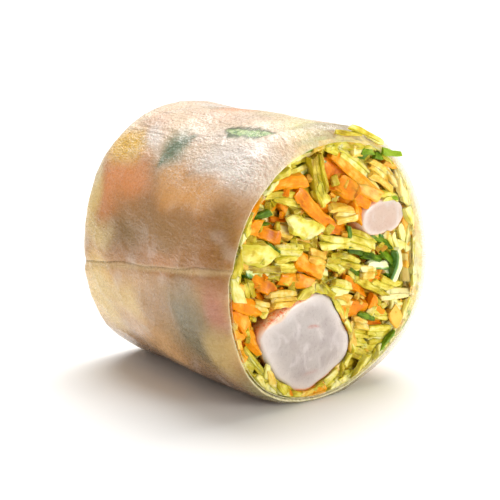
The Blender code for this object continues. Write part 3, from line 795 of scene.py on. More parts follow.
def shred_look(name, stops, fibre, speck, rim, glow):
    """A raw vegetable's cut flesh: a tone for each shred, clearer at its edges, where painted shade and
    colour stand for the light through the flesh, with fibres.
    """
    look = Look(name)
    parts = look.add("ShaderNodeSeparateXYZ", {0: look.attribute("spot", "Vector")})
    fibres = look.noise(2.2, 4.0, 0.6, look.place("spot", (0.22, 1.0, 1.0)))
    cloud = look.noise(900.0, 3.0, 0.6)
    side = look.sum("ABSOLUTE", parts.outputs["Y"])
    # Painted light: the edges darker and richer and the middle paler, for light passing through the
    # flesh's thickness
    edge = look.band(look.sum("MULTIPLY_ADD", cloud, 0.5, side), 0.55, 1.25)
    patch = look.noise(420.0, 2.0, 0.5)
    # The tone is partly painted shade, low for shreds that lie deep in shade
    shade = look.uneven(look.attribute("tone"), fibres, 0.8)
    shade = look.uneven(shade, cloud, 0.5)
    shade = look.uneven(shade, patch, 1.5)
    shade = look.sum("MULTIPLY_ADD", edge, -0.14, shade)
    colour = look.ramp(shade, stops)
    colour = look.mix(colour, fibre, look.band(fibres, 0.55, 0.72, 0.0, 0.55))
    colour = look.mix(colour, speck, look.band(cloud, 0.44, 0.28, 0.0, 0.40))
    # The rim colour at the edges, painted for the same light through the flesh
    colour = look.mix(colour, rim, look.band(edge, 0.4, 1.0, 0.0, 0.42))
    height = look.sum("ADD", fibres, look.sum("MULTIPLY", cloud, 0.5))
    return look.finish(colour, look.band(cloud, 0.3, 0.7, 0.20, 0.38), look.bump(height, 0.00012, 0.7),
                       subsurface_weight=0.6, subsurface_radius=glow, subsurface_scale=0.0006,
                       coat_weight=0.14, coat_roughness=0.08, specular_ior_level=0.12)


def cucumber_look(name):
    """Pale juicy flesh with dark skin along one side."""
    flesh_stops = ((0.2, rgb(168, 188, 70)), (0.6, rgb(208, 218, 128)), (1.0, rgb(236, 238, 186)))
    under_skin, skin = rgb(124, 164, 34), rgb(66, 118, 28)
    look = Look(name)
    across = look.add("ShaderNodeSeparateXYZ", {0: look.attribute("spot", "Vector")}).outputs["Y"]
    cloud = look.noise(800.0, 4.0, 0.6)
    edge = look.uneven(across, cloud, 0.5)
    flesh = look.ramp(look.sum("MULTIPLY_ADD", cloud, 0.7, look.attribute("tone")), flesh_stops)
    colour = look.mix(flesh, under_skin, look.band(edge, 0.25, 0.50))
    colour = look.mix(colour, skin, look.band(edge, 0.50, 0.74))
    return look.finish(colour, look.band(cloud, 0.3, 0.7, 0.2, 0.36), look.bump(cloud, 0.00010, 0.6),
                       subsurface_weight=0.35, subsurface_radius=(0.9, 1.0, 0.6),
                       subsurface_scale=0.0005, coat_weight=0.4, coat_roughness=0.12)


def shrimp_look(name, flesh, blush, skin):
    """Cooked shrimp: cloudy white flesh in faint bands and dotted orange skin at its edge."""
    rim_white, band_white = rgb(226, 216, 210), rgb(214, 206, 204)
    crease_tint, skin_base = rgb(190, 124, 108), rgb(246, 188, 140)
    look = Look(name)
    cloud = look.noise(210.0, 3.0, 0.5, None, 0.4)
    bands = look.noise(520.0, 3.0, 0.5, look.place(scale=(0.3, 1.0, 0.6)), 0.6)
    dots = look.noise(2300.0, 3.0, 0.75)
    colour = look.mix(flesh, blush, look.band(cloud, 0.42, 0.66, 0.0, 0.7))
    colour = look.mix(colour, rim_white, look.attribute("pale"))
    colour = look.mix(colour, band_white, look.band(bands, 0.50, 0.74, 0.0, 0.5))
    colour = look.mix(colour, crease_tint, look.attribute("crease"))
    tint = look.uneven(look.attribute("skin"), cloud, 0.8)
    colour = look.mix(colour, skin_base, look.band(tint, 0.22, 0.62, 0.0, 0.8))
    dotted = look.sum("MULTIPLY", look.band(tint, 0.45, 0.8), look.band(dots, 0.47, 0.60))
    colour = look.mix(colour, skin, dotted)
    height = look.sum("ADD", bands, look.sum("MULTIPLY", dots, 0.25))
    return look.finish(colour, look.band(dots, 0.3, 0.7, 0.24, 0.42), look.bump(height, 0.00014, 0.6),
                       subsurface_weight=0.45, subsurface_radius=(1.0, 0.75, 0.7),
                       subsurface_scale=0.0014, coat_weight=0.35, coat_roughness=0.16)


def leaf_look(name):
    """A soft green leaf with a paler blade between dark veins and a dark rim."""
    blade_stops = ((0.36, rgb(30, 104, 36)), (0.46, rgb(120, 184, 84)), (0.58, rgb(214, 234, 170)))
    vein_tint, rim_tint = rgb(34, 112, 38), rgb(16, 84, 26)
    look = Look(name)
    parts = look.add("ShaderNodeSeparateXYZ", {0: look.attribute("spot", "Vector")})
    side = look.sum("ABSOLUTE", parts.outputs["Y"])
    slope = look.sum("MULTIPLY_ADD", side, -3.4, look.sum("MULTIPLY", parts.outputs["X"], 30.0))
    vein = look.band(look.sum("SINE", slope), 0.72, 1.0, 0.0, 0.5)
    cloud = look.noise(760.0, 3.0, 0.6, None, 1.8)
    rim = look.band(look.sum("MULTIPLY_ADD", cloud, 0.7, side), 0.66, 0.84)
    colour = look.mix(look.ramp(cloud, blade_stops), vein_tint, vein)
    colour = look.mix(colour, rim_tint, rim)
    normal = look.bump(look.sum("ADD", vein, cloud), 0.00008, 0.6)
    return look.finish(colour, look.band(cloud, 0.3, 0.7, 0.35, 0.5), normal,
                       subsurface_weight=0.1, subsurface_radius=(0.4, 1.0, 0.2),
                       subsurface_scale=0.0005)


def core_look(name):
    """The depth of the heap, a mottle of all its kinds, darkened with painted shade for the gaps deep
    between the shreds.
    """
    look = Look(name)
    cloud = look.noise(300.0, 3.0, 0.6, look.place(scale=(0.35, 1.0, 1.0)), 1.0)
    other = look.noise(520.0, 3.0, 0.6)
    colour = look.ramp(cloud, ((0.30, rgb(110, 112, 20)), (0.44, rgb(186, 166, 40)),
                               (0.56, rgb(220, 136, 20)), (0.72, rgb(216, 182, 90))))
    # Painted shade: dark brown blotches over the mottle, for the shade deep between the shreds
    colour = look.mix(colour, rgb(96, 74, 16), look.band(other, 0.50, 0.35, 0.0, 0.5))
    normal = look.bump(cloud, 0.0004, 0.7)
    return look.finish(colour, look.band(other, 0.3, 0.7, 0.35, 0.5), normal, specular_ior_level=0.4)


def film_stations():
    """Stations from the back rim to the front one, as x, share of the curl and slope."""
    span = math.sin(CURL_END)
    drop = 1.0 - math.cos(CURL_END)
    back = BACK_DEPTH - LENGTH / 2
    front = LENGTH / 2 - FRONT_DEPTH
    turns = [CURL_END * step / CURL_STEPS for step in range(1, CURL_STEPS)]
    turns += [CURL_END * NEAR_RIM, CURL_END]
    stations = [(back - BACK_DEPTH * math.sin(turn) / span, -(1.0 - math.cos(turn)) / drop, turn)
                for turn in reversed(turns)]
    stations += [(back + (front - back) * step / FLAT_STEPS, 0.0, 0.0) for step in range(FLAT_STEPS + 1)]
    stations += [(front + FRONT_DEPTH * math.sin(turn) / span, (1.0 - math.cos(turn)) / drop, turn)
                 for turn in turns]
    return stations


def film_relief(angle, x):
    """Small folds of the sheet, the same for both turns of it."""
    folds = WRINKLES(angle, x) + 0.5 * FINE_WRINKLES(angle, x)
    ridges = np.maximum(0.0, 1.0 - np.abs(WRINKLES(angle + 40.0, x)) * RIDGE_SHARPNESS)
    return FOLD_HEIGHT * folds + RIDGE_HEIGHT * ridges


def film_points(shares, station, inner):
    """Points of one side of the sheet at a station, with their angles."""
    x, curl, turn = station
    angle = seam_angle(x) + 360.0 * shares
    for height, along, phase in SEAM_WAVES:
        angle = angle + height * math.sin(along * x + phase)
    if curl > 0.0:
        reach = FRONT_CURL + swell(angle, FRONT_BUMPS)
        depth = front_depth(angle)
        x = LENGTH / 2 - depth * (1.0 - math.sin(turn) / math.sin(CURL_END))
    else:
        reach = np.full_like(angle, BACK_CURL)
        depth = BACK_DEPTH
        if curl == 0.0:
            start = BACK_DEPTH - LENGTH / 2
            reached = (x - start) / (LENGTH / 2 - FRONT_DEPTH - start)
            x = start + reached * (LENGTH / 2 - front_depth(angle) - start)
        else:
            x = np.full_like(angle, x)
    layer = 0.5 - shares - EDGE_FALL * (1.0 - soft_step(shares, 0.0, EDGE_SHARE))
    radius = section_radius(angle, x) + film_relief(angle, x) + THICKNESS * layer - abs(curl) * reach
    radius = np.minimum(radius, floor_radius(angle, AXIS_HEIGHT - THICKNESS * np.floor(shares)))
    along = x
    if inner:
        lean = np.stack((reach * math.sin(turn) / (1.0 - math.cos(CURL_END)),
                         depth * math.cos(turn) / math.sin(CURL_END) + 0.0 * radius))
        lean /= np.hypot(lean[0], lean[1])
        film = film_depth(angle, x)
        film = film * (EDGE_FILM + (1.0 - EDGE_FILM) * soft_step(shares, 0.0, EDGE_SHARE))
        at_rim = float(soft_step(abs(curl), 0.5, 1.0))
        film = film * (1.0 - RIM_THIN * at_rim * soft_step(shares, *SINGLE_LAYER))
        along = along - (1.0 if curl >= 0.0 else -1.0) * lean[0] * film
        radius = radius - lean[1] * film
    if curl < 0.0:
        along = along + curl * BACK_LIP * swell(angle, BACK_LIP_BUMPS)
    turned = np.radians(angle)
    points = np.stack((along, radius * np.cos(turned), radius * np.sin(turned)), axis=1)
    return points, angle


def film_depth(angle, x):
    """How thick the film is: thinner where it clings to a leaf."""
    depth = FILM + 0.0 * angle
    for along, middle, _, length, _ in LEAVES.values():
        away = np.hypot(x - along, arc_from(angle, middle)) / (length / 2 + CLING_MARGIN)
        depth = np.minimum(depth, FILM * (CLING + (1.0 - CLING) * soft_step(away, 0.9, 1.25)))
    return depth


def under_sheet(angle, x):
    """The radius of the sheet's inner side, away from the rims."""
    share = ((angle - seam_angle(x)) / 360.0) % 1.0
    radius = section_radius(angle, x) + film_relief(angle, x) + THICKNESS * (0.5 - share)
    return radius - film_depth(angle, x)


def leaf_half_width(width, share):
    """Half a leaf's ragged width at a share of its length."""
    bulge = np.maximum(np.sin(math.pi * share), 0.0)
    ragged = 1.0 + 0.13 * np.sin(34.0 * share) + 0.08 * np.sin(61.0 * share + 1.0)
    return (width / 2 * bulge ** 0.75) * ragged + LEAF_TIP


def leaf_share(sizes, angle, x, blur):
    """How much of a place on the roll's side lies over a leaf."""
    along, middle, heading, length, width = sizes
    turn = math.radians(heading)
    arc = arc_from(angle, middle + LEAF_GLIMPSE)
    share = ((x - along) * math.cos(turn) + arc * math.sin(turn)) / length + 0.5
    inside = np.clip(share, 0.0, 1.0)
    bulge = np.maximum(np.sin(math.pi * inside), 0.0)
    across = arc * math.cos(turn) - (x - along) * math.sin(turn) - LEAF_BEND * bulge
    beside = np.abs(across) / leaf_half_width(width, inside)
    beside = beside + LEAF_BLUR_WAVE * SMALL_BLOTCHES(angle, x)
    over = 1.0 - soft_step(beside, LEAF_SEEN - blur, LEAF_SEEN + blur)
    return over * zone(share, -0.04, 0.08, 0.92, 1.04)


def all_patches():
    """The patches that the photo shows, and more of their kind on the sides it doesn't."""
    chance = random.Random(SEED)
    patches = list(PATCHES)
    for _ in range(HIDDEN_PATCHES):
        patches.append((chance.uniform(-19.0, 19.0), chance.uniform(228.0, 452.0),
                        chance.uniform(2.0, 6.5), chance.uniform(1.4, 4.5), chance.uniform(-35.0, 35.0),
                        chance.choice(HIDDEN_COLOURS), chance.uniform(0.35, 0.75)))
    return patches


def patch_share(patch, angle, x):
    """How much a patch covers of each place on the roll's side."""
    along, middle, half_length, half_width, heading, _, strength = patch
    turn = math.radians(heading)
    ahead = x / MM - along
    arc = arc_from(angle, middle) / MM
    run = ahead * math.cos(turn) + arc * math.sin(turn)
    across = arc * math.cos(turn) - ahead * math.sin(turn)
    away = np.hypot(run / half_length, across / half_width)
    return strength * (1.0 - soft_step(away, *PATCH_FADE))


def plain_paper(angle, x):
    """The sheet's colours round the roll, with painted light and shade and blotches, before what shows
    through it.
    """
    turn = angle % 360.0
    # The top's lighter colour is partly painted light, and the side's darker tan partly painted shade
    side = zone(turn, *SIDE_ZONE)
    colour = np.outer(1.0 - side, PAPER_TOP) + np.outer(side, PAPER_SIDE)
    colour = laid_over(colour, near(turn, *FAR_ZONE), PAPER_FAR)
    colour = laid_over(colour, zone((turn - DOUBLE_START) % 360.0, *DOUBLE_ZONE), PAPER_DOUBLE)
    # The underside darkened with painted shade
    colour = laid_over(colour, zone(turn, *UNDER_ZONE), PAPER_UNDER_SHADE)
    blotches = TAN_BLOTCHES * soft_step(BLOTCHES(angle, x), 0.1, 1.4)
    colour = laid_over(colour, blotches, VEILED["tan"])
    blotches = WHITE_BLOTCHES * soft_step(SMALL_BLOTCHES(angle, x), 0.2, 1.6)
    return laid_over(colour, blotches, VEILED["white"])


def film_paint(angle, x):
    """The sheet's veiled colours and how much they cover."""
    turn = angle % 360.0
    colour = plain_paper(angle, x)
    warped_x = x + PATCH_WARP_ALONG * WARP_ALONG(angle, x)
    warped = angle + PATCH_WARP_AROUND * WARP_AROUND(angle, x)
    for patch in all_patches():
        colour = laid_over(colour, patch_share(patch, warped, warped_x), VEILED[patch[5]])
    cover = COVER + COVER_WAVE * BLOTCHES(angle + 90.0, x)
    for sizes, blur, name, tint, clearness in SEEN_LEAVES:
        over = leaf_share(sizes, angle, x, blur)
        colour = laid_over(colour, over * tint, VEILED[name])
        cover = cover - over * clearness
    curl = curl_at(angle, x)
    front = soft_step(x, LENGTH / 2 - RIM_CLEAR_FROM, LENGTH / 2 - RIM_CLEAR_TO)
    clear = FRONT_CLEAR[0] + (FRONT_CLEAR[1] - FRONT_CLEAR[0]) * near(turn, *CLEAR_RIM)
    cover = cover - np.where(x > 0.0, front * clear, curl * BACK_CLEAR)
    pale = np.where(x > 0.0, front, curl) * soft_step(clear, 0.12, 0.50)
    colour = laid_over(colour, pale, PAPER_RIM)
    curled = np.where(x > 0.0, soft_step(curl, 0.0, 0.6), 0.0)
    # Painted shade: the curled rim's left part is darkened, against the stronger light it gets as it
    # turns forward
    colour = colour * (1.0 - CURL_SHADE * curled * near(turn, *LEFT_CURL))[:, None]
    low = curled * zone(turn, *LOW_RIM)
    colour = laid_over(colour, LOW_RIM_PAINT * low, VEILED["rim_green"])
    cover = cover - LOW_CLEAR * low
    # A pale line along the seam: painted light that lifts the shade in the step at the sheet's free edge
    share = ((angle - seam_angle(x)) / 360.0 + 0.5) % 1.0 - 0.5
    seam = SEAM_PAINT * (1.0 - soft_step(np.abs(share - SEAM_LINE[0]), *SEAM_LINE))
    colour = laid_over(colour, seam, PAPER_SEAM_LIGHT)
    line = RIM_LINE_PAINT * soft_step(x, LENGTH / 2 - RIM_LINE[0], LENGTH / 2 - RIM_LINE[1])
    colour = laid_over(colour, line, PAPER_RIM)
    return colour, np.clip(cover, LEAST_COVER, MOST_COVER)


def how_wrinkled(angle, x):
    """How finely wrinkled the sheet is at a place."""
    turn = angle % 360.0
    share = 1.0 - 0.82 * zone(turn, *SMOOTH_SIDE)
    share = share * (1.0 - 0.75 * near(turn, *SMOOTH_RIGHT))
    return share * (0.72 + 0.28 * np.clip(BLOTCHES(angle + 30.0, x), -1.0, 1.0))


def rice_paper():
    """The sheet, wound a little over one and a half turns."""
    shares = np.linspace(0.0, TURNS, round(TURNS / PAPER_STEP) + 1)
    width = len(shares)
    stations = film_stations()
    points, colours, covers, wrinkled = [], [], [], []
    for inner in (False, True):
        for station in stations:
            spots, angle = film_points(shares, station, inner)
            points.append(spots)
            colour, cover = film_paint(angle, spots[:, 0])
            colours.append(np.hstack((colour, np.ones((width, 1)))))
            covers.append(cover)
            wrinkled.append(how_wrinkled(angle, spots[:, 0]))
    last = len(stations) - 1
    sheet = width * len(stations)
    faces, slots = [], []
    for row in range(last):
        for column in range(width - 1):
            corner = row * width + column
            quad = (corner, corner + 1, corner + width + 1, corner + width)
            faces.append(quad)
            slots.append(0 if shares[column] < 1.0 else 1)
            faces.append(tuple(sheet + index for index in reversed(quad)))
            slots.append(1)
    rims = [(row * width + column, row * width + column + 1, row > 0)
            for row in (0, last) for column in range(width - 1)]
    ends = [(row * width + column, (row + 1) * width + column, column == 0)
            for column in (0, width - 1) for row in range(last)]
    for first, second, swapped in rims + ends:
        if swapped:
            first, second = second, first
        faces.append((second, first, sheet + first, sheet + second))
        slots.append(2)
    materials = [film_look("film", True), film_look("film_under", False), edge_look("film_edge")]
    attributes = {"veil": np.vstack(colours), "cover": np.concatenate(covers),
                  "wrinkled": np.concatenate(wrinkled)}
    thing = make("rice_paper_sheet", np.vstack(points), faces, attributes, materials, slots)
    declare(thing, "rice_paper", "rice_paper")


def settle(points, keep_clear):
    """Shred points pressed in under the paper and out round the shrimps."""
    x = points[:, 0]
    for name in SHRIMPS:
        _, across, up = shrimp_outline(name, 0.0, x)
        angle = np.degrees(np.arctan2(points[:, 2] - up, points[:, 1] - across))
        size, across, up = shrimp_outline(name, angle, x)
        size = (size + SHRIMP_GAP) * (keep_clear if name == "shrimp_large" else SMALL_SHRIMP_OVERLAP)
        away = np.hypot(points[:, 1] - across, points[:, 2] - up)
        push = np.maximum(size / np.maximum(away, NOTHING), 1.0)
        points[:, 1] = across + (points[:, 1] - across) * push
        points[:, 2] = up + (points[:, 2] - up) * push
    points[:, 1:] *= shrink_to(room, points)[:, None]
    return points


def shrink_to(limit, points):
    """How much points are drawn in towards the axis so that they stay within a radius."""
    angle = np.degrees(np.arctan2(points[:, 2], points[:, 1]))
    away = np.hypot(points[:, 1], points[:, 2])
    return np.minimum(limit(angle, points[:, 0]) / np.maximum(away, NOTHING), 1.0)


class Heap:
    """The shreds of one kind, gathered into one mesh."""

    def __init__(self):
        self.points, self.faces, self.tones, self.spots = [], [], [], []
        self.total = 0

    def strip(self, chance, middle, lean, tilt, length, width, thick, tone, bend=None, soft=False,
              keep_clear=1.0):
        """A shred: a bar with bevelled edges and slanting ends, a little bent and uneven."""
        turn, pitch = math.radians(lean), math.radians(tilt)
        along = np.array((math.sin(pitch), math.cos(turn) * math.cos(pitch),
                          math.sin(turn) * math.cos(pitch)))
        across = np.array((0.0, -math.sin(turn), math.cos(turn)))
        out = np.cross(along, across)
        roll = math.radians(chance.uniform(-24.0, 24.0))
        across, out = (across * math.cos(roll) + out * math.sin(roll),
                       out * math.cos(roll) - across * math.sin(roll))
        spans = max(6, round(length / SHRED_STEP))
        bevel = 0.62 if soft else chance.uniform(0.76, 0.86)
        section = [(1.0, bevel), (bevel, 1.0), (-bevel, 1.0), (-1.0, bevel),
                   (-1.0, -bevel), (-bevel, -1.0), (bevel, -1.0), (1.0, -bevel)]
        wedge = chance.uniform(0.5, 1.0)
        section = [(v, w * (1.0 if v > 0.0 else wedge)) for v, w in section]
        sides = len(section)
        share = np.linspace(-1.0, 1.0, spans + 1)
        power = 2.6 if soft else chance.uniform(5.0, 12.0)
        blunt = 0.35 if soft else chance.uniform(0.72, 0.92)
        profile = blunt + (1.0 - blunt) * np.sqrt(np.clip(1.0 - np.abs(share) ** power, 0.0, 1.0))
        taper = 1.0 + (share - 1.0) * 0.5 * chance.uniform(0.0, 0.45) * chance.choice((0.0, 1.0))
        # Painted light: the tone raised towards the right of the front cut, for the glow coming through
        if middle[0] > 0.0:
            tone = tone + PASTEL_GLOW * float(soft_step(middle[1], *PASTEL_SIDE))
        bend = chance.uniform(-0.07, 0.07) if bend is None else bend
        lift = chance.uniform(-0.04, 0.04)
        twist = chance.uniform(-0.5, 0.5)
        slants = (chance.uniform(-0.6, 0.6), chance.uniform(-0.6, 0.6))
        phase = [chance.uniform(0.0, 6.28) for _ in range(4)]
        wobble = 1.0 + 0.10 * np.sin(4.0 * share + phase[0]) + 0.06 * np.sin(9.0 * share + phase[1])
        other = 1.0 + 0.12 * np.sin(3.0 * share + phase[2]) + 0.06 * np.sin(8.0 * share + phase[3])
        centre = middle + np.outer(share * length / 2, along)
        centre = centre + np.outer((share ** 2 - 0.33) * length * bend, across)
        centre = centre + np.outer((share ** 2 - 0.33) * length * lift, out)
        slant = np.where(share < 0.0, slants[0], slants[1]) * np.abs(share) ** 4 * width / 2
        rings = []
        turned = twist * share
        for v, w in section:
            first = (v * np.cos(turned) * width - w * np.sin(turned) * thick) / 2
            second = (v * np.sin(turned) * width + w * np.cos(turned) * thick) / 2
            ring = centre + np.outer(first * profile * taper * wobble, across)
            ring = ring + np.outer(second * profile * other, out) + np.outer(slant * v, along)
            rings.append((ring, (v, w)))
        points = np.stack([ring for ring, _ in rings], axis=1).reshape(-1, 3)
        caps = np.stack((points[:sides].mean(axis=0), points[-sides:].mean(axis=0)))
        points = np.vstack((points, caps))
        points = points if keep_clear is None else settle(points, keep_clear)
        base = self.total
        self.faces += tube_faces(spans, sides, base)
        start, end = base + (spans + 1) * sides, base + (spans + 1) * sides + 1
        for column in range(sides):
            following = (column + 1) % sides
            self.faces.append((start, base + following, base + column))
            self.faces.append((end, base + spans * sides + column, base + spans * sides + following))
        shift = chance.uniform(0.0, 60.0)
        runs = np.repeat(share * length / 2 / MM, sides)
        flats = np.tile(np.array([flat for _, flat in rings]), (spans + 1, 1))
        spots = np.column_stack((runs + shift, flats[:, 0], flats[:, 1]))
        reach = length / 2 / MM
        spots = np.vstack((spots, ((shift - reach, 0.0, 0.0), (shift + reach, 0.0, 0.0))))
        self.points.append(points)
        self.spots.append(spots)
        self.tones.append(np.full(len(points), tone))
        self.total += len(points)

    def bundle(self, chance, middle, lean, length, width, thick, tone, bend, soft, strands):
        """A shred that has split along its fibres into strands of uneven length."""
        turn = math.radians(lean)
        along = np.array((0.0, math.cos(turn), math.sin(turn)))
        across = np.array((0.0, -math.sin(turn), math.cos(turn)))
        tilt = chance.uniform(-9.0, 9.0)
        fan = chance.uniform(-16.0, 16.0)
        for strand in range(strands):
            aside = ((strand + 0.5) / strands - 0.5) * width
            part = length if strands == 1 else length * chance.uniform(0.72, 1.0)
            slide = (length - part) / 2 * chance.choice((-1.0, 1.0))
            spot = middle + across * aside + along * slide
            spot[0] += chance.uniform(-0.5, 0.5) * thick * 0.3 if strands > 1 else 0.0
            own_lean = lean + (chance.uniform(-4.0, 4.0) + fan * aside / width if strands > 1 else 0.0)
            own_tone = min(max(tone + (chance.uniform(-0.2, 0.2) if strands > 1 else 0.0), 0.0), 1.0)
            own_width = width / strands * (1.0 if strands == 1 else 1.25)
            self.strip(chance, spot, own_lean, tilt, part, own_width, thick, own_tone, bend, soft)

    def build(self, name, material):
        """The mesh of all the shreds of this kind."""
        attributes = {"spot": np.vstack(self.spots), "tone": np.concatenate(self.tones)}
        thing = make(name, np.vstack(self.points), self.faces, attributes, [material])
        thing.data.set_sharp_from_angle(angle=math.radians(SHARP_TURN))
        declare(thing, "vegetable_shreds", "shredded_filling")


def clear_of_shrimps(y, z, side, margin):
    """Whether a place on a cut is off the shrimps."""
    for name in SHRIMPS:
        x = side * LENGTH / 2
        _, across, up = shrimp_outline(name, 0.0, x)
        angle = math.degrees(math.atan2(z - up, y - across))
        size, across, up = shrimp_outline(name, angle, x)
        if math.hypot(y - across, z - up) < size + margin:
            return False
    return True


def scatter(heaps, chance, side, depths, count, size=1.0):
    """Shreds spread over a cut at a range of depths."""
    kinds = [name for name, _ in KIND_SHARES]
    shares = [share for _, share in KIND_SHARES]
    for _ in range(count):
        for _ in range(SCATTER_TRIES):
            away = SCATTER_RADIUS * math.sqrt(chance.random())
            turn = chance.uniform(0.0, 2.0 * math.pi)
            y, z = away * math.cos(turn), away * math.sin(turn)
            if clear_of_shrimps(y, z, side, SCATTER_MARGIN):
                break
        kind = chance.choices(kinds, shares)[0]
        width = chance.uniform(*SCATTER_WIDTHS) * size
        length = chance.uniform(*SCATTER_LENGTHS) * size
        tilt = chance.uniform(-SCATTER_TILT, SCATTER_TILT)
        lean = USUAL_LEAN + chance.gauss(0.0, LEAN_SPREAD)
        if chance.random() < STEEP_SHARE:
            tilt = side * chance.uniform(*STEEP_TILTS)
            length = min(length, STEEP_LENGTH)
        if kind == "herb":
            width *= HERB_SIZE
            length *= HERB_SIZE
        middle = np.array((side * (LENGTH / 2 - chance.uniform(*sorted(depths))), y, z))
        thick = min(width, SCATTER_WIDTHS[1]) * SCATTER_THICKNESS
        tone = min(max(chance.gauss(*SCATTER_TONE), 0.0), 1.0)
        heaps[kind].strip(chance, middle, lean, tilt, length, width, thick, tone)


def lay_round(heap, chance, spot, angle, lie, **other):
    """Lays a shred along a round line, with its sizes drawn from what is given."""
    lean, tilt, lengths, widths, thick, tones = lie
    heap.strip(chance, np.array(spot), angle + 90.0 + chance.uniform(-lean, lean),
               chance.uniform(-tilt, tilt), chance.uniform(*lengths), chance.uniform(*widths),
               thick, chance.uniform(*tones), **other)


def line_rim(heaps, chance, side):
    """Shreds that lie round the cut, close under the curled rim."""
    for step in range(RIM_SHREDS):
        angle = 360.0 * (step + chance.uniform(-ROUND_STRAY, ROUND_STRAY)) / RIM_SHREDS
        depth = chance.uniform(*(FRONT_RIM_DEPTHS if side > 0 else BACK_RIM_DEPTHS))
        x = side * (LENGTH / 2 - depth)
        radius = float(room(np.array(angle), np.array(x))) - chance.uniform(0.0, RIM_DROP)
        y, z = radius * math.cos(math.radians(angle)), radius * math.sin(math.radians(angle))
        if not clear_of_shrimps(y, z, side, RIM_MARGIN):
            continue
        kind = chance.choices(("courgette", "carrot", "cabbage", "herb"), RIM_SHARES)[0]
        if side > 0 and LEFT_RIM[0] < angle < LEFT_RIM[1]:
            kind = "carrot" if LEFT_CARROT[0] < angle < LEFT_CARROT[1] else "courgette"
        lay_round(heaps[kind], chance, (x, y, z), angle, RIM_LIE)


def line_shrimp(heaps, chance):
    """Shreds that press against the large shrimp at the front cut."""
    for step in range(SHRIMP_SHREDS):
        angle = 360.0 * (step + chance.uniform(-ROUND_STRAY, ROUND_STRAY)) / SHRIMP_SHREDS
        x = LENGTH / 2 - chance.uniform(*SHRIMP_DEPTHS)
        size, across, up = shrimp_outline("shrimp_large", np.array(angle), x)
        upper_left = SHRIMP_FREE[0] < angle < SHRIMP_FREE[1]
        reach = float(size) + chance.uniform(*SHRIMP_AWAY) + (FREE_AWAY if upper_left else 0.0)
        if SHRIMP_BARE[0] < angle < SHRIMP_BARE[1]:
            continue
        y = across + reach * math.cos(math.radians(angle))
        z = up + reach * math.sin(math.radians(angle))
        kind = chance.choices(("courgette", "carrot", "cabbage"), SHRIMP_SHARES)[0]
        lay_round(heaps[kind], chance, (x, y, z), angle, SHRIMP_LIE,
                  keep_clear=1.0 if upper_left else SHRIMP_OVERLAP)


def filling_core():
    """The heap's own packed core, with uneven ends."""
    columns, rings, spans = 72, 14, 24
    half = LENGTH / 2 - CORE_DEPTH
    angles = 360.0 * np.arange(columns) / columns
    turned = np.radians(angles)
    profile = [(-half, share / rings) for share in range(1, rings)]
    profile += [(-half + 2.0 * half * step / spans, 1.0) for step in range(spans + 1)]
    profile += [(half, share / rings) for share in range(rings - 1, 0, -1)]
    points = []
    for x, share in profile:
        radius = (room(angles, np.full(columns, x)) - CORE_GAP) * share
        bumps = 0.0 if share == 1.0 else CORE_BUMPS * np.sin(9.0 * share * math.pi + 5.0 * turned)
        points.append(np.column_stack((x + bumps * np.sign(x) + 0.0 * angles, radius * np.cos(turned),
                                       radius * np.sin(turned))))
    faces = tube_faces(len(profile) - 1, columns)
    total = len(profile) * columns
    points.append(np.array(((-half, 0.0, 0.0), (half, 0.0, 0.0))))
    for column in range(columns):
        following = (column + 1) % columns
        faces.append((total, following, column))
        faces.append((total + 1, total - columns + column, total - columns + following))
    thing = make("filling_core", np.vstack(points), faces, {}, [core_look("packed_filling")])
    declare(thing, "vegetable_shreds", "shredded_filling")


def lay_shown(heaps, chance):
    """The larger shreds that the photo shows, split along their fibres where they are wide."""
    for kind, pieces in SHOWN.items():
        for across, height, lean, length, width, lift, tone in pieces:
            thick = min(max(0.75 * width, 0.9), 1.7) * MM
            x = LENGTH / 2 - SHOWN_DEPTH + lift * SHOWN_LIFT
            middle = np.array((x, across * MM, height * MM - TABLE_AXIS))
            curved = kind == "cucumber" and lean == CURVED_LEAN
            bend = CURVED_BEND if curved else chance.uniform(-0.05, 0.05)
            soft = width > SOFT_WIDTH and kind == "courgette"
            whole = soft or kind in ("carrot", "cucumber")
            strands = 1 if whole else max(1, round(width * MM / STRAND_WIDTH))
            heaps[kind].bundle(chance, middle, lean, length * MM, width * MM, thick, tone, bend,
                               soft, strands)


def filling():
    """The shredded vegetables at both cuts, one mesh for each kind, over the core."""
    chance = random.Random(SEED)
    heaps = {name: Heap() for name, _ in KIND_SHARES}
    for side in (1.0, -1.0):
        for depths, count in zip(LAYER_DEPTHS, LAYER_COUNTS):
            scatter(heaps, chance, side, depths, count, UNDER_SIZE)
    scatter(heaps, chance, -1.0, TOP_DEPTHS, BACK_TOP_COUNT)
    lay_shown(heaps, chance)
    scatter(heaps, chance, 1.0, FRONT_TOP_DEPTHS, FRONT_TOP_COUNT, FRONT_TOP_SIZE)
    for side in (1.0, -1.0):
        line_rim(heaps, chance, side)
    line_shrimp(heaps, chance)
    for kind, across, height, lean, length, width, lift, tone in LOOSE:
        middle = np.array((LENGTH / 2 - LOOSE_DEPTH + lift * MM, across * MM, height * MM - TABLE_AXIS))
        heaps[kind].strip(chance, middle, lean, chance.uniform(-6.0, 6.0), length * MM, width * MM,
                          LOOSE_THICKNESS, tone, keep_clear=None)
    filling_core()
    for kind, colours in SHRED_COLOURS.items():
        heaps[kind].build(kind + "_shreds", shred_look(kind, *colours))
    heaps["cucumber"].build("cucumber_shreds", cucumber_look("cucumber"))


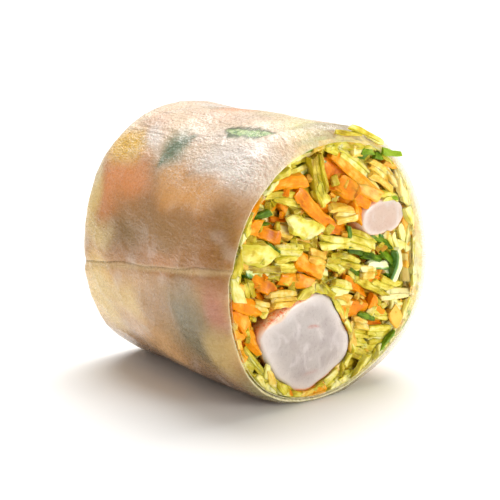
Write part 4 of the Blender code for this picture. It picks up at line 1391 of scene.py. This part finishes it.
def shrimp(name, material):
    """A shrimp that runs from cut to cut, with uneven cut faces."""
    columns, spans, rings = 112, 56, 26
    angles = 360.0 * np.arange(columns) / columns
    turned = np.radians(angles)
    half = LENGTH / 2 - SHRIMP_INSET
    profile = [(-1.0, ring / rings) for ring in range(rings + 1)]
    profile += [(2.0 * step / spans - 1.0, None) for step in range(1, spans)]
    profile += [(1.0, ring / rings) for ring in range(rings, -1, -1)]
    points, skins, creases, pales = [], [], [], []
    for side, share in profile:
        on_cut = share is not None
        ring = max(share, 0.004) if on_cut else 1.0
        x = np.full(columns, side * (half if on_cut else half - SHRIMP_EDGE))
        size, across, up = shrimp_outline(name, angles, x)
        y, z = size * ring * np.cos(turned), size * ring * np.sin(turned)
        crease = 0.0 * angles
        skin = crease + SIDE_SKIN
        if on_cut:
            edge = size * (1.0 - ring)
            fall = np.clip(1.0 - edge / SHRIMP_EDGE, 0.0, 1.0)
            rounding = SHRIMP_EDGE * (1.0 - np.sqrt(np.clip(1.0 - fall ** 2, 0.0, 1.0)))
            dome = 0.07 * float(size.mean()) * (1.0 - ring ** 3.0) - 0.00010
            wave = CUT_WAVE * np.sin(900.0 * y + 300.0 * z + 1.0) * np.cos(700.0 * z - 400.0 * y)
            groove = vein_depth(y, z, size)
            x = x + side * (dome + wave * (1.0 - ring ** 6) - rounding - VEIN_HOLLOW * groove)
            crease = 0.8 * groove
            skin = skin_share(angles, edge, name) if side > 0 else 0.8 * soft_step(-edge, -0.0012, 0.0)
        spots = np.column_stack((x, across + y, up + z))
        spots[:, 1:] *= shrink_to(lambda angle, x: room(angle, x) + SHRIMP_GAP, spots)[:, None]
        points.append(spots)
        skins.append(skin)
        creases.append(crease)
        pales.append(0.75 * soft_step(np.full(columns, ring), 0.62, 0.98))
    faces = tube_faces(len(profile) - 1, columns)
    faces.append(tuple(range(columns))[::-1])
    last = (len(profile) - 1) * columns
    faces.append(tuple(range(last, last + columns)))
    attributes = {"skin": np.concatenate(skins), "crease": np.concatenate(creases),
                  "pale": np.concatenate(pales)}
    thing = make(name + "_meat", np.vstack(points), faces, attributes, [material])
    declare(thing, "shrimp", name)


def arched(y, z, top, arch, width, middle, half_length):
    """A short arched line on a cut face: 1 in its middle, falling to 0."""
    bow = z - top + arch * (y - middle[0]) ** 2
    return np.exp(-((bow / width) ** 2)) * np.exp(-(((y - middle[1]) / half_length) ** 4))


def vein_depth(y, z, size):
    """The short curved vein and the folds on a shrimp's cut face."""
    vein = arched(y, z, 0.0026, 90.0, 0.0002, (0.0004, 0.0010), 0.0012)
    crease = arched(y, z, -0.0052, 30.0, 0.0003, (0.0010, 0.0006), 0.0016)
    return np.where(size > LEAST_VEINED, vein + 0.35 * crease, 0.0)


def skin_share(angles, edge, name):
    """Where the orange skin shows round a shrimp's front cut."""
    if name == "shrimp_small":
        return 0.55 * soft_step(-edge, -0.0009, 0.0)
    upper = np.exp(-(((angles - 122.0) / 44.0) ** 4))
    lower = np.exp(-(((angles - 285.0) / 36.0) ** 4))
    depth = 0.0006 + 0.0011 * np.exp(-(((angles - 140.0) / 14.0) ** 2))
    rim = soft_step(-edge, -depth * 1.6, -depth * 0.1)
    return np.maximum(0.25, np.maximum(upper, 0.9 * lower)) * rim


def leaf(name, material):
    """A pointed wavy leaf close under the paper."""
    along, middle, heading, length, width = LEAVES[name]
    spans, rows = 48, 20
    turn = math.radians(heading)
    points, spots = [], []
    for side in (0, 1):
        for span in range(spans + 1):
            share = span / spans
            bulge = max(math.sin(math.pi * share), 0.0)
            half = float(leaf_half_width(width, share))
            run = (share - 0.5) * length
            for row in range(rows + 1):
                over = 2.0 * row / rows - 1.0
                across = over * half
                bent = across + LEAF_BEND * bulge
                x = along + run * math.cos(turn) - bent * math.sin(turn)
                arc = run * math.sin(turn) + bent * math.cos(turn)
                angle = middle + math.degrees(arc / MEAN_RADIUS)
                wave = 0.5 + 0.5 * math.sin(7.5 * share + 700.0 * across)
                depth = LEAF_GAP + LEAF_WAVE * wave + LEAF_THICKNESS * side
                radius = float(under_sheet(np.array(angle), np.array(x))) - depth
                turned = math.radians(angle)
                points.append((x, radius * math.cos(turned), radius * math.sin(turned)))
                spots.append((share, over, side))
    faces = []
    line = rows + 1
    sheet = line * (spans + 1)
    for span in range(spans):
        for row in range(rows):
            corner = span * line + row
            quad = (corner, corner + line, corner + line + 1, corner + 1)
            faces.append(quad)
            faces.append(tuple(sheet + index for index in reversed(quad)))
    edge = list(range(line))
    edge += [span * line + rows for span in range(1, spans + 1)]
    edge += [spans * line + row for row in range(rows - 1, -1, -1)]
    edge += [span * line for span in range(spans - 1, 0, -1)]
    for first, second in zip(edge, edge[1:] + edge[:1]):
        faces.append((first, second, sheet + second, sheet + first))
    thing = make(name + "_blade", points, faces, {"spot": spots}, [material])
    declare(thing, "herb", name)


# The light, floor and camera
CAMERA_AZIMUTH = 52.73
CAMERA_ELEVATION = 13.16
CAMERA_DISTANCE = 0.2212
CAMERA_LENS = 91.29
CAMERA_ASIDE = -0.00038
CAMERA_RISE = -0.00093
CAMERA_TARGET = Vector((0.000696, -0.000177, 0.022))
FLOOR_REACH = 12.0
SURROUND = (1.0, 0.955, 0.90, 1.0)
SURROUND_STRENGTH = 0.44

# The main light's place, power, spread and colour, and the soft lights' place, size, power and
# colour. A place is measured from the camera's target, to the right, up and towards the camera.
SUN = ((0.03, 0.85, -0.50), 3.1, 56.0, (0.985, 0.99, 1.0))
SOFT_LIGHTS = {
    "window": ((0.14, 0.34, -0.20), 0.26, 0.5, (1.0, 0.98, 0.95)),
    "fill": ((0.40, 0.10, 0.24), 0.20, 1.2, (1.0, 0.985, 0.96)),
}


def directions():
    """The camera's own directions: back, right and up."""
    azimuth, elevation = math.radians(CAMERA_AZIMUTH), math.radians(CAMERA_ELEVATION)
    back = Vector((math.sin(azimuth) * math.cos(elevation), -math.cos(azimuth) * math.cos(elevation),
                   math.sin(elevation)))
    right = Vector((math.cos(azimuth), math.sin(azimuth), 0.0))
    return back, right, back.cross(right)


def add_camera():
    """The photo's view."""
    back, right, up = directions()
    data = bpy.data.cameras.new("camera")
    data.lens = CAMERA_LENS
    data.sensor_width = 36.0
    data.clip_start = 0.01
    camera = bpy.data.objects.new("camera", data)
    camera.location = CAMERA_TARGET + right * CAMERA_ASIDE + up * CAMERA_RISE + back * CAMERA_DISTANCE
    camera.rotation_mode = "QUATERNION"
    camera.rotation_quaternion = (-back).to_track_quat("-Z", "Y")
    bpy.context.scene.collection.objects.link(camera)
    bpy.context.scene.camera = camera


def add_lamp(data, place):
    """Links a lamp at a place beside the camera's target, facing it."""
    back, right, _ = directions()
    flat = Vector((back.x, back.y, 0.0)).normalized()
    offset = right * place[0] + Vector((0.0, 0.0, place[1])) + flat * place[2]
    lamp = bpy.data.objects.new(data.name, data)
    lamp.location = CAMERA_TARGET + offset
    lamp.rotation_mode = "QUATERNION"
    lamp.rotation_quaternion = (-offset).to_track_quat("-Z", "Y")
    bpy.context.scene.collection.objects.link(lamp)


def add_lights():
    """A broad, soft main light from above and two soft square ones."""
    place, power, spread, colour = SUN
    sun = bpy.data.lights.new("main", "SUN")
    sun.energy = power
    sun.angle = math.radians(spread)
    sun.color = colour
    add_lamp(sun, place)
    for name, (place, size, power, colour) in SOFT_LIGHTS.items():
        data = bpy.data.lights.new(name, "AREA")
        data.shape = "SQUARE"
        data.size = size
        data.energy = power
        data.color = colour
        add_lamp(data, place)


def add_surroundings():
    """A pale floor, a pale surround and soft lights."""
    look = Look("pale_floor")
    cloud = look.noise(6.0, 2.0, 0.5)
    colour = look.mix(rgb(244, 244, 243), rgb(247, 247, 246), cloud)
    look.finish(colour, look.band(cloud, 0.3, 0.7, 0.80, 0.85), look.bump(cloud, 0.00001),
                specular_ior_level=0.1)
    mesh = bpy.data.meshes.new("floor")
    corners = [(side * FLOOR_REACH, end * FLOOR_REACH, 0.0)
               for side, end in ((-1, -1), (1, -1), (1, 1), (-1, 1))]
    mesh.from_pydata(corners, [], [(0, 1, 2, 3)])
    mesh.materials.append(look.material)
    floor = bpy.data.objects.new("floor", mesh)
    bpy.context.scene.collection.objects.link(floor)
    world = bpy.data.worlds.new("surround")
    world.use_nodes = True
    world.node_tree.nodes["Background"].inputs["Color"].default_value = SURROUND
    world.node_tree.nodes["Background"].inputs["Strength"].default_value = SURROUND_STRENGTH
    bpy.context.scene.world = world
    add_lights()
    bpy.context.scene.view_settings.view_transform = "Standard"


rice_paper()
filling()
shrimp("shrimp_large", shrimp_look("shrimp_flesh", *SHRIMP_COLOURS["shrimp_large"]))
shrimp("shrimp_small", shrimp_look("shrimp_flesh_small", *SHRIMP_COLOURS["shrimp_small"]))
leaf_material = leaf_look("herb_leaf")
for leaf_name in LEAVES:
    leaf(leaf_name, leaf_material)
add_surroundings()
add_camera()
